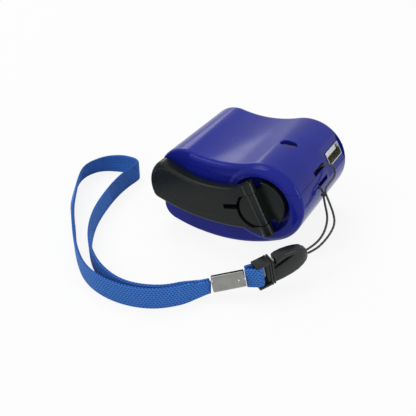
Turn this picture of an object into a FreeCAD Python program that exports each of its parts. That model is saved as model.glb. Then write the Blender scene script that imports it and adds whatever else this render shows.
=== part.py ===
import FreeCAD, Part
import math
import os
import re

import Sketcher

# Hand crank phone charger: a two-shell case, a folding crank on a disc, a gear train with a small
# generator, a tilted socket with its board, and a wrist strap on a string and buckle.
# X runs along the crank face, Y from the crank face to the back, Z up from the floor.
# The origin is the middle of the flat that the case rests on.

# Driving dimensions: alias, size in millimetres (or degrees, or a count), and what it is.
DRIVING = [
    ("hub_x", 23, "crank axis, right of the origin"),
    ("hub_height", 22.3, "crank axis above the floor"),
    ("case_depth", 50, "rim crest to the back of the case"),
    ("lobe_radius", 17, "round end of the case, about the crank axis"),
    ("hump_radius", 12, "upper left end of the case"),
    ("hump_span", 34.8, "hump centre, left of the crank axis"),
    ("hump_rise", 1.9, "hump centre, above the crank axis"),
    ("dip_radius", 50, "hollow in the top between lobe and hump"),
    ("corner_radius", 7, "lower left corner of the case"),
    ("corner_span", 38.6, "lower corner centre, left of the crank axis"),
    ("belly_radius", 65, "round underside"),
    ("base_flat", 0.7, "depth of the belly cut off as a flat to rest on"),
    ("wall", 2, "case wall"),
    ("seam_rise", 8.2, "joint of the two shells, above the crank axis"),
    ("turret_step", 0.8, "how far the rim crest stands in front of the case face"),
    ("turret_gap", 0.2, "lobe radius less turret radius"),
    ("front_round", 2, "rounding of the case's front edges"),
    ("back_round", 3.5, "rounding of the case's back edges"),
    ("rim_round", 3.2, "rounding outside the rim crest"),
    ("pocket_radius", 12.3, "round pocket that the disc turns in"),
    ("pocket_depth", 4.5, "crest to pocket floor"),
    ("pocket_wall", 1.8, "wall round the pocket"),
    ("floor_wall", 2, "pocket floor"),
    ("disc_radius", 10, "crank disc"),
    ("disc_sink", 0.3, "disc face behind the rim crest"),
    ("disc_thick", 3, "crank disc"),
    ("disc_boss", 5, "radius of the boss behind the disc"),
    ("disc_edge", 0.5, "rounding of the disc's front edge"),
    ("saddle_deep", 0.8, "foot of the barrel and the raised side in the disc"),
    ("run_gap", 0.2, "end gap between turning faces"),
    ("seat_gap", 0.02, "radial gap of parts that are pressed or glued together"),
    ("fit_gap", 0.05, "radial gap of parts that turn on each other"),
    ("hinge_tilt", 28, "hinge axis from the vertical, degrees"),
    ("barrel_radius", 2.1, "hinge barrel"),
    ("knuckle_radius", 2.5, "knuckles of the arm"),
    ("barrel_half", 6.6, "half length of the barrel on the disc"),
    ("knuckle_gap", 0.3, "barrel end to knuckle"),
    ("knuckle_long", 4.4, "knuckle of the arm"),
    ("hinge_pin_radius", 0.8, "hinge pin"),
    ("arm_gap", 0.5, "rim crest to the back of the folded arm"),
    ("arm_thick", 3.8, "crank arm"),
    ("arm_round", 1, "rounding of the arm's front edges"),
    ("arm_eye", 8.2, "radius of the arm's opening over the disc"),
    ("eye_gap", 1, "opening of the arm to the raised side of the disc"),
    ("block_sink", 0.7, "raised side of the disc behind the front of the arm"),
    ("throw", 39, "crank axis to knob axis"),
    ("knob_drop", 1.3, "knob axis below the crank axis, arm stowed"),
    ("tip_radius", 13.3, "blunt far end of the arm"),
    ("tip_top", 43.3, "its upper corner, left of the crank axis"),
    ("tip_top_rise", 9.3, "its upper corner, above the crank axis"),
    ("tip_low", 46.3, "its lower corner, left of the crank axis"),
    ("tip_low_drop", 8, "its lower corner, below the crank axis"),
    ("tip_corner", 3, "rounding of both corners"),
    ("tip_gap", 0.4, "thick end of the arm to the case face"),
    ("tip_wall", 1.6, "arm in front of the grip's recess"),
    ("thin_reach", 30, "thin part of the arm, about the crank axis"),
    ("thin_slope", 3, "widening of its edge towards the thick end"),
    ("arm_top_radius", 45, "hollow upper edge of the arm"),
    ("arm_top_end", 9.8, "end of that edge, left of the crank axis"),
    ("arm_top_rise", 6.9, "end of that edge, above the crank axis"),
    ("arm_low_radius", 82, "full lower edge of the arm"),
    ("arm_low_end", 2, "end of that edge, left of the crank axis"),
    ("arm_low_drop", 9.45, "end of that edge, below the crank axis"),
    ("slot_width", 2.1, "slot through the arm beside the disc"),
    ("slot_long", 5.85, "slot through the arm beside the disc"),
    ("slot_tilt", 16, "slot above the horizontal, degrees"),
    ("slot_rise", 1.43, "slot's line above the crank axis"),
    ("knob_radius", 4, "folding grip"),
    ("knob_high", 3.7, "folding grip"),
    ("knob_room", 0.4, "recess of the arm round the grip"),
    ("knob_round", 1, "rounding of the grip's end"),
    ("knob_pin_radius", 1, "pin that the grip turns on"),
    ("knob_pin_head", 2, "radius of its head"),
    ("knob_head_thick", 0.8, "its head"),
    ("relief_gap", 0.3, "grip to the case round it"),
    ("shaft_radius", 2.5, "crank shaft"),
    ("bush_wall", 1.1, "bushings round the crank shaft"),
    ("gear_module", 0.6, "module of all gears"),
    ("drive_teeth", 44, "gear on the crank shaft"),
    ("pinion_teeth", 12, "small gears of both compound gears"),
    ("first_teeth", 36, "wheel of the first compound gear"),
    ("second_teeth", 30, "wheel of the second compound gear"),
    ("motor_teeth", 10, "gear on the generator"),
    ("backlash", 0.12, "play of a tooth in its gap"),
    ("gear_width", 2.7, "each gear row"),
    ("row_gap", 0.4, "between gear rows"),
    ("first_turn", 188.9, "direction from the crank axis to the first gear, degrees"),
    ("second_turn", 168.4, "direction from the first gear to the second, degrees"),
    ("motor_turn", 298, "direction from the second gear to the generator, degrees"),
    ("axle_radius", 1, "gear axles"),
    ("axle_boss", 2.2, "bosses that hold the axles"),
    ("plate_thick", 1.5, "gear plate"),
    ("plate_gap", 0.4, "gear plate to the case wall"),
    ("plate_right", 8, "end of the gear plate right of the crank axis"),
    ("plate_top", 5, "top of the gear plate above the crank axis"),
    ("post_radius", 1.8, "posts that carry the gear plate"),
    ("plate_screw", 0.9, "radius of the gear plate's screws"),
    ("plate_screw_head", 1.6, "their heads"),
    ("motor_radius", 10, "generator can"),
    ("motor_flat", 7.5, "centre to the flats of the can"),
    ("motor_long", 21, "generator can"),
    ("motor_cap", 3, "its end cap"),
    ("can_wall", 0.6, "its sheet"),
    ("magnet_thick", 1.2, "magnets in the can"),
    ("rotor_radius", 6.4, "rotor core"),
    ("motor_shaft", 1, "radius of the generator shaft"),
    ("screw_radius", 1, "case screws"),
    ("screw_head", 2, "case screw heads"),
    ("screw_head_thick", 1.4, "case screw heads"),
    ("screw_long", 7, "case screws under the head"),
    ("boss_radius", 3.2, "case screw bosses"),
    ("boss_shelf", 4, "plastic between screw head and joint"),
    ("pilot_deep", 3.2, "screw hole above the joint"),
    ("port_tilt", 30, "socket above the horizontal, degrees"),
    ("port_face", 15.9, "flat round the socket, from the crank axis"),
    ("port_y", 14.1, "socket, behind the origin"),
    ("panel_start", 3.5, "front end of the flat"),
    ("panel_end", 22.3, "back end of the flat"),
    ("port_wide", 13.1, "socket shell"),
    ("port_high", 5.7, "socket shell"),
    ("port_long", 14, "socket shell"),
    ("port_sheet", 0.3, "socket shell"),
    ("port_gap", 0.15, "socket shell to the case"),
    ("port_stand", 0.3, "socket shell proud of the flat round it"),
    ("tongue_wide", 11.1, "socket tongue"),
    ("tongue_thick", 1.84, "socket tongue"),
    ("tongue_rise", 0.1, "underside of the tongue above the socket's middle"),
    ("tongue_sink", 1.2, "tongue end behind the socket's mouth"),
    ("board_thick", 1.2, "circuit board"),
    ("board_inner", -4, "inner end of the board along the socket's axis"),
    ("board_outer", 10.5, "outer end of the board along the socket's axis"),
    ("board_front", -5.5, "front end of the board"),
    ("board_back", 21.5, "back end of the board"),
    ("lamp_x", 0.8, "charge lamp, right of the crank axis"),
    ("lamp_y", -3, "charge lamp"),
    ("lens_long", 7, "lamp window along the face"),
    ("lens_wide", 4.4, "lamp window front to back"),
    ("lens_gap", 0.05, "lamp window to the case"),
    ("lens_sink", 0.5, "lamp window below the top"),
    ("lamp_radius", 1.5, "lamp"),
    ("lamp_high", 4.6, "lamp"),
    ("lamp_top", 11.8, "top of the lamp above the crank axis"),
    ("leg_radius", 0.25, "lamp legs"),
    ("bar_y", -3, "middle of the lanyard bar"),
    ("bar_long", 9.5, "slots above and below the lanyard bar"),
    ("bar_angle", 23.4, "lanyard bar above the horizontal, degrees"),
    ("bar_spread", 8.9, "slot centres from the bar's middle, degrees"),
    ("bar_slot", 2, "lanyard slots"),
    ("string_radius", 0.45, "string between case and buckle"),
    ("knot_radius", 1.3, "knot in the string"),
    ("strap_width", 9.4, "woven strap"),
    ("strap_thick", 1.1, "woven strap"),
    ("buckle_x", 36.9, "buckle's flange, right of the origin"),
    ("buckle_y", -43.5, "buckle's flange, behind the origin"),
    ("buckle_heading", 56, "buckle's length from the X axis, degrees"),
    ("tail_tilt", 11, "rise of ferrule and buckle towards the string, degrees"),
    ("buckle_high", 11.4, "buckle, which stands on edge"),
    ("buckle_thick", 4.7, "buckle"),
    ("flange_half", 0.8, "half thickness of the flange between the buckle's halves"),
    ("housing_long", 14.9, "buckle half on the string"),
    ("tip_high", 6, "its narrow end"),
    ("arm_high", 2.4, "its spring arm"),
    ("frame_long", 5.2, "strap frame of the buckle half on the strap"),
    ("bar_radius", 0.9, "bar that the strap folds round"),
    ("tongue_play", 0.2, "the buckle's tongue to its room"),
    ("clip_tongue_high", 4.4, "tongue between the buckle's halves"),
    ("clip_tongue_half", 1.1, "half its thickness"),
    ("clip_tongue_long", 11.4, "its length from the middle of the flange"),
    ("spring_gap", 0.8, "slot under the buckle's spring arm"),
    ("crimp_radius", 3.2, "metal ferrule on the strap"),
    ("crimp_x", 20, "strap end of the ferrule, right of the origin"),
    ("crimp_y", -57.1, "strap end of the ferrule, behind the origin"),
    ("crimp_end_x", 30, "buckle end of the ferrule, right of the origin"),
    ("crimp_end_y", -50, "buckle end of the ferrule, behind the origin"),
    ("crimp_rise", 5.3, "ferrule above the floor"),
]

doc = FreeCAD.newDocument("hand_crank_charger")
sheet = doc.addObject("Spreadsheet::Sheet", "Sizes")
for row, (alias, size, meaning) in enumerate(DRIVING, start=1):
    sheet.set(f"A{row}", alias)
    sheet.set(f"B{row}", str(size))
    sheet.set(f"C{row}", meaning)
    sheet.setAlias(f"B{row}", alias)
doc.recompute()
ALIASES = {alias for alias, size, meaning in DRIVING}

# Planes across the case, front to back, and heights above the floor.
CREST = "(-case_depth / 2)"
BACK = "(case_depth / 2)"
FACE = f"({CREST} + turret_step)"
POCKET = f"({CREST} + pocket_depth)"
DISC_FACE = f"({CREST} + disc_sink)"
DISC_BACK = f"({DISC_FACE} + disc_thick)"
ARM_BACK = f"({CREST} - arm_gap)"
ARM_FRONT = f"({ARM_BACK} - arm_thick)"
HINGE = f"({ARM_BACK} - arm_thick / 2)"
TIP_BACK = f"({FACE} - tip_gap)"
KNOB_ROOM = f"({ARM_FRONT} + tip_wall)"
KNOB_START = f"({KNOB_ROOM} + run_gap)"
KNOB_END = f"({KNOB_START} + knob_high)"
RELIEF = f"({KNOB_END} + relief_gap)"
ROW_ONE = f"({POCKET} + floor_wall + run_gap)"
ROW_TWO = f"({ROW_ONE} + gear_width + row_gap)"
ROW_THREE = f"({ROW_TWO} + gear_width + row_gap)"
PLATE = f"({ROW_THREE} + gear_width + row_gap)"
PLATE_BACK = f"({PLATE} + plate_thick)"
SEAM = "(hub_height + seam_rise)"
BORE = "(shaft_radius + fit_gap)"
PILOT = "(screw_radius + seat_gap)"

# Centre distances of the gear pairs and the three axes beside the crank axis.
FIRST_REACH = "(gear_module * (drive_teeth + pinion_teeth) / 2)"
SECOND_REACH = "(gear_module * (first_teeth + pinion_teeth) / 2)"
MOTOR_REACH = "(gear_module * (second_teeth + motor_teeth) / 2)"
FIRST = (
    f"(hub_x + {FIRST_REACH} * cos(first_turn))",
    f"(hub_height + {FIRST_REACH} * sin(first_turn))",
)
SECOND = (
    f"({FIRST[0]} + {SECOND_REACH} * cos(second_turn))",
    f"({FIRST[1]} + {SECOND_REACH} * sin(second_turn))",
)
MOTOR = (
    f"({SECOND[0]} + {MOTOR_REACH} * cos(motor_turn))",
    f"({SECOND[1]} + {MOTOR_REACH} * sin(motor_turn))",
)

# Screws of the case (right of the origin, behind it) and posts of the gear plate (right of and
# above the crank axis).
CASE_SCREWS = [("-17.3", "0.5"), ("-17.3", "18.2"), ("15", "19")]
PLATE_POSTS = [("-40", "-10"), ("-42.5", "1.3"), ("-9", "-15.5")]
BOARD_POSTS = [("-1.5", "1.5"), ("-1.5", "18.5")]

nodes = {}


def sized(text):
    """The formula with each size named as its cell."""
    return re.sub(
        r"[a-z][a-z_]+",
        lambda word: f"Sizes.{word.group()}" if word.group() in ALIASES else word.group(),
        text,
    )


def number(text):
    """The formula's present value."""
    value = sheet.evalExpression(sized(text))
    return float(getattr(value, "Value", value))


def tie(thing, **formulas):
    for name, text in formulas.items():
        thing.setExpression(name, sized(text))


def move(thing, x, y, z):
    for letter, text in zip("xyz", (x, y, z)):
        thing.setExpression(f"Placement.Base.{letter}", sized(text))


def keep(name, thing):
    """Names the finished piece as a node."""
    thing.Label = name
    nodes[name] = thing
    return thing


AXIS_TURN = {
    "X": FreeCAD.Rotation(FreeCAD.Vector(0, 1, 0), 90),
    "Y": FreeCAD.Rotation(FreeCAD.Vector(1, 0, 0), -90),
    "Z": FreeCAD.Rotation(),
}


def rod(name, radius, start, end, across, axis="Y"):
    """A cylinder from start to end along the axis; across gives its other two coordinates."""
    thing = doc.addObject("Part::Cylinder", name)
    tie(thing, Radius=radius, Height=f"({end}) - ({start})")
    thing.Placement.Rotation = AXIS_TURN[axis]
    spot = list(across)
    spot.insert("XYZ".index(axis), start)
    move(thing, *spot)
    return thing


def block(name, low, high):
    """A box between two corners."""
    thing = doc.addObject("Part::Box", name)
    sides = [f"({b}) - ({a})" for a, b in zip(low, high)]
    tie(thing, Length=sides[0], Width=sides[1], Height=sides[2])
    move(thing, *low)
    return thing


def turned(thing, angle, out, y, up, lie="0"):
    """Sets a piece in the frame that is turned about the crank axis: out and up are its offsets."""
    thing.Placement.Rotation = FreeCAD.Rotation(FreeCAD.Vector(0, 1, 0), 10)
    tie(thing, **{"Placement.Rotation.Angle": f"({lie}) - ({angle})"})
    move(
        thing,
        f"hub_x + ({out}) * cos({angle}) - ({up}) * sin({angle})",
        y,
        f"hub_height + ({out}) * sin({angle}) + ({up}) * cos({angle})",
    )
    return thing


def turned_block(name, angle, low, high):
    """A box in the frame turned by the angle: corners as (out, y, up)."""
    thing = doc.addObject("Part::Box", name)
    sides = [f"({b}) - ({a})" for a, b in zip(low, high)]
    tie(thing, Length=sides[0], Width=sides[1], Height=sides[2])
    return turned(thing, angle, *low)


def turned_rod(name, angle, radius, start, end, out, y):
    """A cylinder along the turned frame's up direction."""
    thing = doc.addObject("Part::Cylinder", name)
    tie(thing, Radius=radius, Height=f"({end}) - ({start})")
    return turned(thing, angle, out, y, start)


def lying_rod(name, angle, radius, start, end, y, up="0"):
    """A cylinder along the turned frame's out direction."""
    thing = doc.addObject("Part::Cylinder", name)
    tie(thing, Radius=radius, Height=f"({end}) - ({start})")
    return turned(thing, angle, start, y, up, "90")


def cut(name, base, *tools):
    for index, tool in enumerate(tools):
        last = index == len(tools) - 1
        result = doc.addObject("Part::Cut", name if last else f"{name}_cut")
        result.Base = base
        result.Tool = tool
        base = result
    return base


def fuse(name, *parts):
    result = doc.addObject("Part::MultiFuse", name)
    result.Shapes = list(parts)
    result.Refine = True
    return result


def group(name, *parts):
    """Separate solids kept as one node."""
    result = doc.addObject("Part::Compound", name)
    result.Links = list(parts)
    return result


def common(name, first, second):
    result = doc.addObject("Part::Common", name)
    result.Base = first
    result.Tool = second
    return result


def new_body(name):
    return doc.addObject("PartDesign::Body", name)


def face_sketch(body, name, x, y, z):
    """A sketch in the XZ plane at depth y, its origin at x and z."""
    sketch = body.newObject("Sketcher::SketchObject", name)
    plane = [part for part in body.Origin.OriginFeatures if part.Role == "XZ_Plane"][0]
    sketch.AttachmentSupport = [(plane, "")]
    sketch.MapMode = "FlatFace"
    for letter, text in zip("xyz", (x, z, f"-({y})")):
        sketch.setExpression(f"AttachmentOffset.Base.{letter}", sized(text))
    return sketch


def fix(sketch, text, kind, *where):
    """A dimension of the sketch, bound to its formula."""
    index = sketch.addConstraint(Sketcher.Constraint(kind, *where, number(text)))
    sketch.setExpression(f"Constraints[{index}]", sized(text))


def arc(x, z, radius, start, end):
    circle = Part.Circle(FreeCAD.Vector(x, z, 0), FreeCAD.Vector(0, 0, 1), radius)
    return Part.ArcOfCircle(circle, start, end)


def pad(body, name, sketch, long):
    """A pad from its sketch towards the back."""
    feature = body.newObject("PartDesign::Pad", name)
    feature.Profile = sketch
    feature.Reversed = True
    tie(feature, Length=long)
    doc.recompute()
    return feature


def round_edges(body, name, base, radius, chosen):
    """A fillet on the base's edges that the test chooses."""
    feature = body.newObject("PartDesign::Fillet", name)
    edges = [f"Edge{i + 1}" for i, edge in enumerate(base.Shape.Edges) if chosen(edge)]
    feature.Base = (base, edges)
    tie(feature, Radius=radius)
    doc.recompute()
    return feature


def at_depth(*depths):
    """A test for edges that lie in a plane across Y at one of the depths."""
    levels = [number(depth) for depth in depths]

    def chosen(edge):
        box = edge.BoundBox
        return any(abs(box.YMin - y) < 1e-4 and abs(box.YMax - y) < 1e-4 for y in levels)

    return chosen


def toward(start, end):
    """The direction from one point to another, in radians."""
    return math.atan2(end[1] - start[1], end[0] - start[0])


def case_section(body, name, inset, depth):
    """Outline of the case seen from the crank, moved inwards by inset: five arcs and a flank.

    Its origin is the crank axis. The belly runs into the lobe and the corner from inside; the
    dip is hollow and touches the lobe and the hump from outside.
    """
    lobe, hump, corner, belly = (
        number(f"{size} - ({inset})")
        for size in ("lobe_radius", "hump_radius", "corner_radius", "belly_radius")
    )
    dip = number(f"dip_radius + ({inset})")
    hub = (0.0, 0.0)
    hump_at = (-number("hump_span"), number("hump_rise"))
    span = math.hypot(*hump_at)
    lean = math.acos(((lobe + dip) ** 2 + span**2 - (hump + dip) ** 2) / (2 * (lobe + dip) * span))
    rise = toward(hub, hump_at) - lean
    dip_at = ((lobe + dip) * math.cos(rise), (lobe + dip) * math.sin(rise))
    belly_z = number("belly_radius - hub_height - base_flat")
    belly_at = (-math.sqrt((belly - lobe) ** 2 - belly_z**2), belly_z)
    corner_x = -number("corner_span")
    reach = math.sqrt((belly - corner) ** 2 - (corner_x - belly_at[0]) ** 2)
    corner_at = (corner_x, belly_z - reach)
    gap = math.hypot(hump_at[0] - corner_at[0], hump_at[1] - corner_at[1])
    flank = toward(hump_at, corner_at) - math.acos((hump - corner) / gap)
    flank_side = (math.cos(flank), math.sin(flank))
    ends = [
        FreeCAD.Vector(at[0] + radius * flank_side[0], at[1] + radius * flank_side[1], 0)
        for at, radius in ((hump_at, hump), (corner_at, corner))
    ]
    sketch = face_sketch(body, name, "hub_x", depth, "hub_height")
    sketch.addGeometry(
        [
            arc(*hub, lobe, toward(belly_at, hub), toward(hub, dip_at)),
            arc(*dip_at, dip, toward(dip_at, hump_at), toward(dip_at, hub)),
            arc(*hump_at, hump, toward(hump_at, dip_at), flank),
            Part.LineSegment(*ends),
            arc(*corner_at, corner, flank, toward(belly_at, corner_at)),
            arc(*belly_at, belly, toward(belly_at, corner_at), toward(belly_at, hub)),
        ],
        False,
    )
    joints = [(0, 2, 1, 2), (1, 1, 2, 1), (2, 2, 3, 1), (3, 2, 4, 1), (4, 2, 5, 1), (5, 2, 0, 1)]
    sketch.addConstraint(Sketcher.Constraint("Coincident", 0, 3, -1, 1))
    for joint in joints:
        sketch.addConstraint(Sketcher.Constraint("Tangent", *joint))
    fix(sketch, f"lobe_radius - ({inset})", "Radius", 0)
    fix(sketch, f"dip_radius + ({inset})", "Radius", 1)
    fix(sketch, f"hump_radius - ({inset})", "Radius", 2)
    fix(sketch, f"corner_radius - ({inset})", "Radius", 4)
    fix(sketch, f"belly_radius - ({inset})", "Radius", 5)
    fix(sketch, "-hump_span", "DistanceX", -1, 1, 2, 3)
    fix(sketch, "hump_rise", "DistanceY", -1, 1, 2, 3)
    fix(sketch, "-corner_span", "DistanceX", -1, 1, 4, 3)
    fix(sketch, "belly_radius - hub_height - base_flat", "DistanceY", -1, 1, 5, 3)
    return sketch


def rod_body(name, radius, start, long, x, z):
    """A body with a round pad along Y."""
    body = new_body(name)
    sketch = face_sketch(body, f"{name}_outline", x, start, z)
    whole = Part.Circle(FreeCAD.Vector(0, 0, 0), FreeCAD.Vector(0, 0, 1), number(radius))
    sketch.addGeometry(whole, False)
    sketch.addConstraint(Sketcher.Constraint("Coincident", 0, 3, -1, 1))
    fix(sketch, radius, "Radius", 0)
    return body, pad(body, f"{name}_pad", sketch, long)


# Case: outer form, hollow, and everything that stands in the hollow.

form_body = new_body("case_form")
form_sketch = case_section(form_body, "case_outline", "0", FACE)
form_pad = pad(form_body, "case_pad", form_sketch, "case_depth - turret_step")
form_front = round_edges(form_body, "front_rounds", form_pad, "front_round", at_depth(FACE))
round_edges(form_body, "back_rounds", form_front, "back_round", at_depth(BACK))

TURRET = "(lobe_radius - turret_gap)"
turret_body, turret_pad = rod_body("turret", TURRET, CREST, "10", "hub_x", "hub_height")
round_edges(turret_body, "turret_round", turret_pad, "rim_round", at_depth(CREST))
outside = fuse("outside", form_body, turret_body)

HUB = ("hub_x", "hub_height")
FRONT = f"({CREST} - 5)"
SWEEP = "(throw - knob_radius - relief_gap)"


def cone(name, slope, radius, start, end, axis):
    """A cone frustum along Y that widens from its radius at the start."""
    thing = doc.addObject("Part::Cone", name)
    long = f"(({end}) - ({start}))"
    tie(thing, Radius1=radius, Radius2=f"({radius}) + ({slope}) * {long}", Height=long)
    thing.Placement.Rotation = AXIS_TURN["Y"]
    move(thing, axis[0], start, axis[1])
    return thing


def swept_space(name, radius, end):
    """Everything in front of a depth and outside a radius about the crank axis."""
    corner = ("hub_x - 80", FRONT, "hub_height - 60")
    far = ("hub_x + 60", end, "hub_height + 60")
    room = block(f"{name}_block", corner, far)
    return cut(name, room, rod(f"{name}_core", radius, f"{FRONT} - 1", f"{end} + 1", HUB))


hollow_body = new_body("hollow")
hollow_sketch = case_section(hollow_body, "hollow_outline", "wall", f"{FACE} + wall")
pad(hollow_body, "hollow_pad", hollow_sketch, "case_depth - turret_step - 2 * wall")
standing = [
    swept_space("inner_relief", f"{SWEEP} - wall", f"{RELIEF} + wall"),
    rod("cup", "pocket_radius + pocket_wall", FRONT, f"{POCKET} + floor_wall", HUB),
    rod("boss_one", "axle_boss", FRONT, f"{ROW_ONE} - run_gap", FIRST),
    rod("boss_two", "axle_boss", FRONT, f"{ROW_TWO} - run_gap", SECOND),
]
for place, (x, z) in enumerate(PLATE_POSTS, start=1):
    spot = (f"hub_x + {x}", f"hub_height + {z}")
    standing.append(rod(f"post_{place}", "post_radius", FRONT, PLATE, spot))
for place, (x, y) in enumerate(CASE_SCREWS, start=1):
    standing.append(rod(f"case_boss_{place}", "boss_radius", "0", "2 * hub_height", (x, y), "Z"))
UNDER_BOARD = "(-(port_high / 2) - board_thick)"
for place, (out, y) in enumerate(BOARD_POSTS, start=1):
    start = "-lobe_radius - 5"
    post = turned_rod(
        f"board_post_{place}", "port_tilt", "post_radius", start, UNDER_BOARD, out, y
    )
    standing.append(post)

# Generator envelope and the ribs that cradle it.


def motor_slice(name, radius, half, start, end):
    """A round with two flats, above and below, between two depths."""
    whole = rod(f"{name}_round", radius, start, end, MOTOR)
    low = (f"{MOTOR[0]} - motor_radius - 1", f"{start} - 1", f"{MOTOR[1]} - ({half})")
    high = (f"{MOTOR[0]} + motor_radius + 1", f"{end} + 1", f"{MOTOR[1]} + ({half})")
    return common(name, whole, block(f"{name}_flats", low, high))


CAN_END = f"({PLATE_BACK} + motor_long)"
MOTOR_END = f"({CAN_END} + motor_cap)"
room = motor_slice(
    "motor_room", "motor_radius + seat_gap", "motor_flat + seat_gap", PLATE_BACK, MOTOR_END
)
ribs = []
for place, y in enumerate(("5", "14"), start=1):
    low = (f"{MOTOR[0]} - motor_radius - 1.5", f"{PLATE_BACK} + {y}", "0")
    high = (f"{MOTOR[0]} + motor_radius + 1.5", f"{PLATE_BACK} + {y} + 2", f"{MOTOR[1]} - 2")
    ribs.append(block(f"rib_{place}", low, high))
standing.append(cut("ribs", group("rib_pair", *ribs), room))
cavity = cut("cavity", hollow_body, *standing)

# Openings in the case.

openings = [
    swept_space("outer_relief", SWEEP, RELIEF),
    cavity,
    rod("pocket", "pocket_radius", FRONT, POCKET, HUB),
    rod("bush_bore", f"{BORE} + bush_wall + seat_gap", POCKET, f"{POCKET} + floor_wall", HUB),
    rod("axle_bore_one", "axle_radius + seat_gap", f"{POCKET} - 1", ROW_ONE, FIRST),
    rod("axle_bore_two", "axle_radius + seat_gap", f"{POCKET} - 1", ROW_TWO, SECOND),
]
for place, (x, z) in enumerate(PLATE_POSTS, start=1):
    spot = (f"hub_x + {x}", f"hub_height + {z}")
    openings.append(
        rod(f"post_bore_{place}", "plate_screw + seat_gap", f"{PLATE} - 5", PLATE, spot)
    )
SHELF = f"({SEAM} - boss_shelf)"
for place, spot in enumerate(CASE_SCREWS, start=1):
    openings.append(rod(f"head_room_{place}", "screw_head + 0.2", "-2", SHELF, spot, "Z"))
    openings.append(rod(f"shank_{place}", "screw_radius + 0.1", "-1", SEAM, spot, "Z"))
    pilot = rod(f"pilot_{place}", PILOT, f"{SEAM} - 1", f"{SEAM} + pilot_deep", spot, "Z")
    openings.append(pilot)
for place, (out, y) in enumerate(BOARD_POSTS, start=1):
    start = f"{UNDER_BOARD} - 5"
    bore = "plate_screw + seat_gap"
    openings.append(
        turned_rod(f"board_bore_{place}", "port_tilt", bore, start, UNDER_BOARD, out, y)
    )
openings.append(
    turned_block(
        "port_flat", "port_tilt", ("port_face", "panel_start", "-9"), ("25", "panel_end", "9")
    )
)
PORT_SIDE = "(port_wide / 2 + port_gap)"
PORT_UP = "(port_high / 2 + port_gap)"
openings.append(
    turned_block(
        "port_hole",
        "port_tilt",
        ("10", f"port_y - {PORT_SIDE}", f"-{PORT_UP}"),
        ("25", f"port_y + {PORT_SIDE}", PORT_UP),
    )
)


def lens_slice(name, grow, start, end):
    """An upright oval over the lamp, between two heights above the crank axis."""
    ends = []
    half = "((lens_long - lens_wide) / 2)"
    low, high = f"hub_height + {start}", f"hub_height + {end}"
    for side, sign in (("left", "-"), ("right", "+")):
        spot = (f"hub_x + lamp_x {sign} {half}", "lamp_y")
        ends.append(rod(f"{name}_{side}", f"lens_wide / 2 + {grow}", low, high, spot, "Z"))
    wide = f"(lens_wide / 2 + {grow})"
    middle = block(
        f"{name}_middle",
        (f"hub_x + lamp_x - {half}", f"lamp_y - {wide}", low),
        (f"hub_x + lamp_x + {half}", f"lamp_y + {wide}", high),
    )
    return fuse(name, middle, *ends)


openings.append(lens_slice("lens_hole", "lens_gap", "10", "25"))
for side, sign in (("upper", "+"), ("lower", "-")):
    angle = f"(bar_angle {sign} bar_spread)"
    openings.append(
        turned_block(
            f"{side}_slot",
            angle,
            ("lobe_radius - 5", "bar_y - bar_long / 2", "-bar_slot / 2"),
            ("lobe_radius + 5", "bar_y + bar_long / 2", "bar_slot / 2"),
        )
    )
openings.append(block("floor_cut", ("-60", "-60", "-20"), ("60", "60", "0")))
shell = cut("shell", outside, *openings)
upper_room = block("upper_room", ("-60", "-60", SEAM), ("60", "60", "80"))
lower_room = block("lower_room", ("-60", "-60", "-20"), ("60", "60", SEAM))
keep("upper_shell", common("upper_shell", shell, upper_room))
keep("lower_shell", common("lower_shell", shell, lower_room))

# Lamp and its window.

LENS_TOP = "(lobe_radius - 2 * lens_sink)"
LENS_SEAT = "(lobe_radius - wall - 1)"
lens_plug = lens_slice("lens_plug", "0", LENS_SEAT, LENS_TOP)
lens_rim = lens_slice("lens_rim", "0.8", f"{LENS_SEAT} - 0.8", LENS_SEAT)
keep("led_lens", fuse("led_lens", lens_plug, lens_rim))
LAMP = ("hub_x + lamp_x", "lamp_y")
LAMP_BASE = "(hub_height + lamp_top - lamp_high)"
lamp = [
    rod("lamp_bulb", "lamp_radius", LAMP_BASE, "hub_height + lamp_top", LAMP, "Z"),
    rod("lamp_collar", "lamp_radius + 0.3", LAMP_BASE, f"{LAMP_BASE} + 0.8", LAMP, "Z"),
]
leg_spots = [(LAMP[0], f"lamp_y {sign} 1.27") for sign in "-+"]
for place, spot in enumerate(leg_spots, start=1):
    lamp.append(rod(f"lamp_leg_{place}", "leg_radius", "hub_height - 5.3", LAMP_BASE, spot, "Z"))
keep("indicator_led", fuse("indicator_led", *lamp))

# Socket: sheet shell, tongue with its block, four contacts.

PORT_OUT = "(port_face + port_stand)"
PORT_IN = f"({PORT_OUT} - port_long)"
SIDE, HIGH = "(port_wide / 2)", "(port_high / 2)"
can_block = turned_block(
    "socket_block",
    "port_tilt",
    (PORT_IN, f"port_y - {SIDE}", f"-{HIGH}"),
    (PORT_OUT, f"port_y + {SIDE}", HIGH),
)
can_room = turned_block(
    "socket_room",
    "port_tilt",
    (f"{PORT_IN} + port_sheet", f"port_y - {SIDE} + port_sheet", f"-{HIGH} + port_sheet"),
    (f"{PORT_OUT} + 1", f"port_y + {SIDE} - port_sheet", f"{HIGH} - port_sheet"),
)
keep("usb_shell", cut("usb_shell", can_block, can_room))
tongue_block = turned_block(
    "tongue_block",
    "port_tilt",
    (f"{PORT_IN} + port_sheet", f"port_y - {SIDE} + port_sheet", f"-{HIGH} + port_sheet"),
    (f"{PORT_IN} + port_sheet + 4", f"port_y + {SIDE} - port_sheet", f"{HIGH} - port_sheet"),
)
tongue_blade = turned_block(
    "tongue_blade",
    "port_tilt",
    (f"{PORT_IN} + port_sheet", "port_y - tongue_wide / 2", "tongue_rise"),
    (f"{PORT_OUT} - tongue_sink", "port_y + tongue_wide / 2", "tongue_rise + tongue_thick"),
)
keep("usb_tongue", fuse("usb_tongue", tongue_block, tongue_blade))
contacts = []
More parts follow.
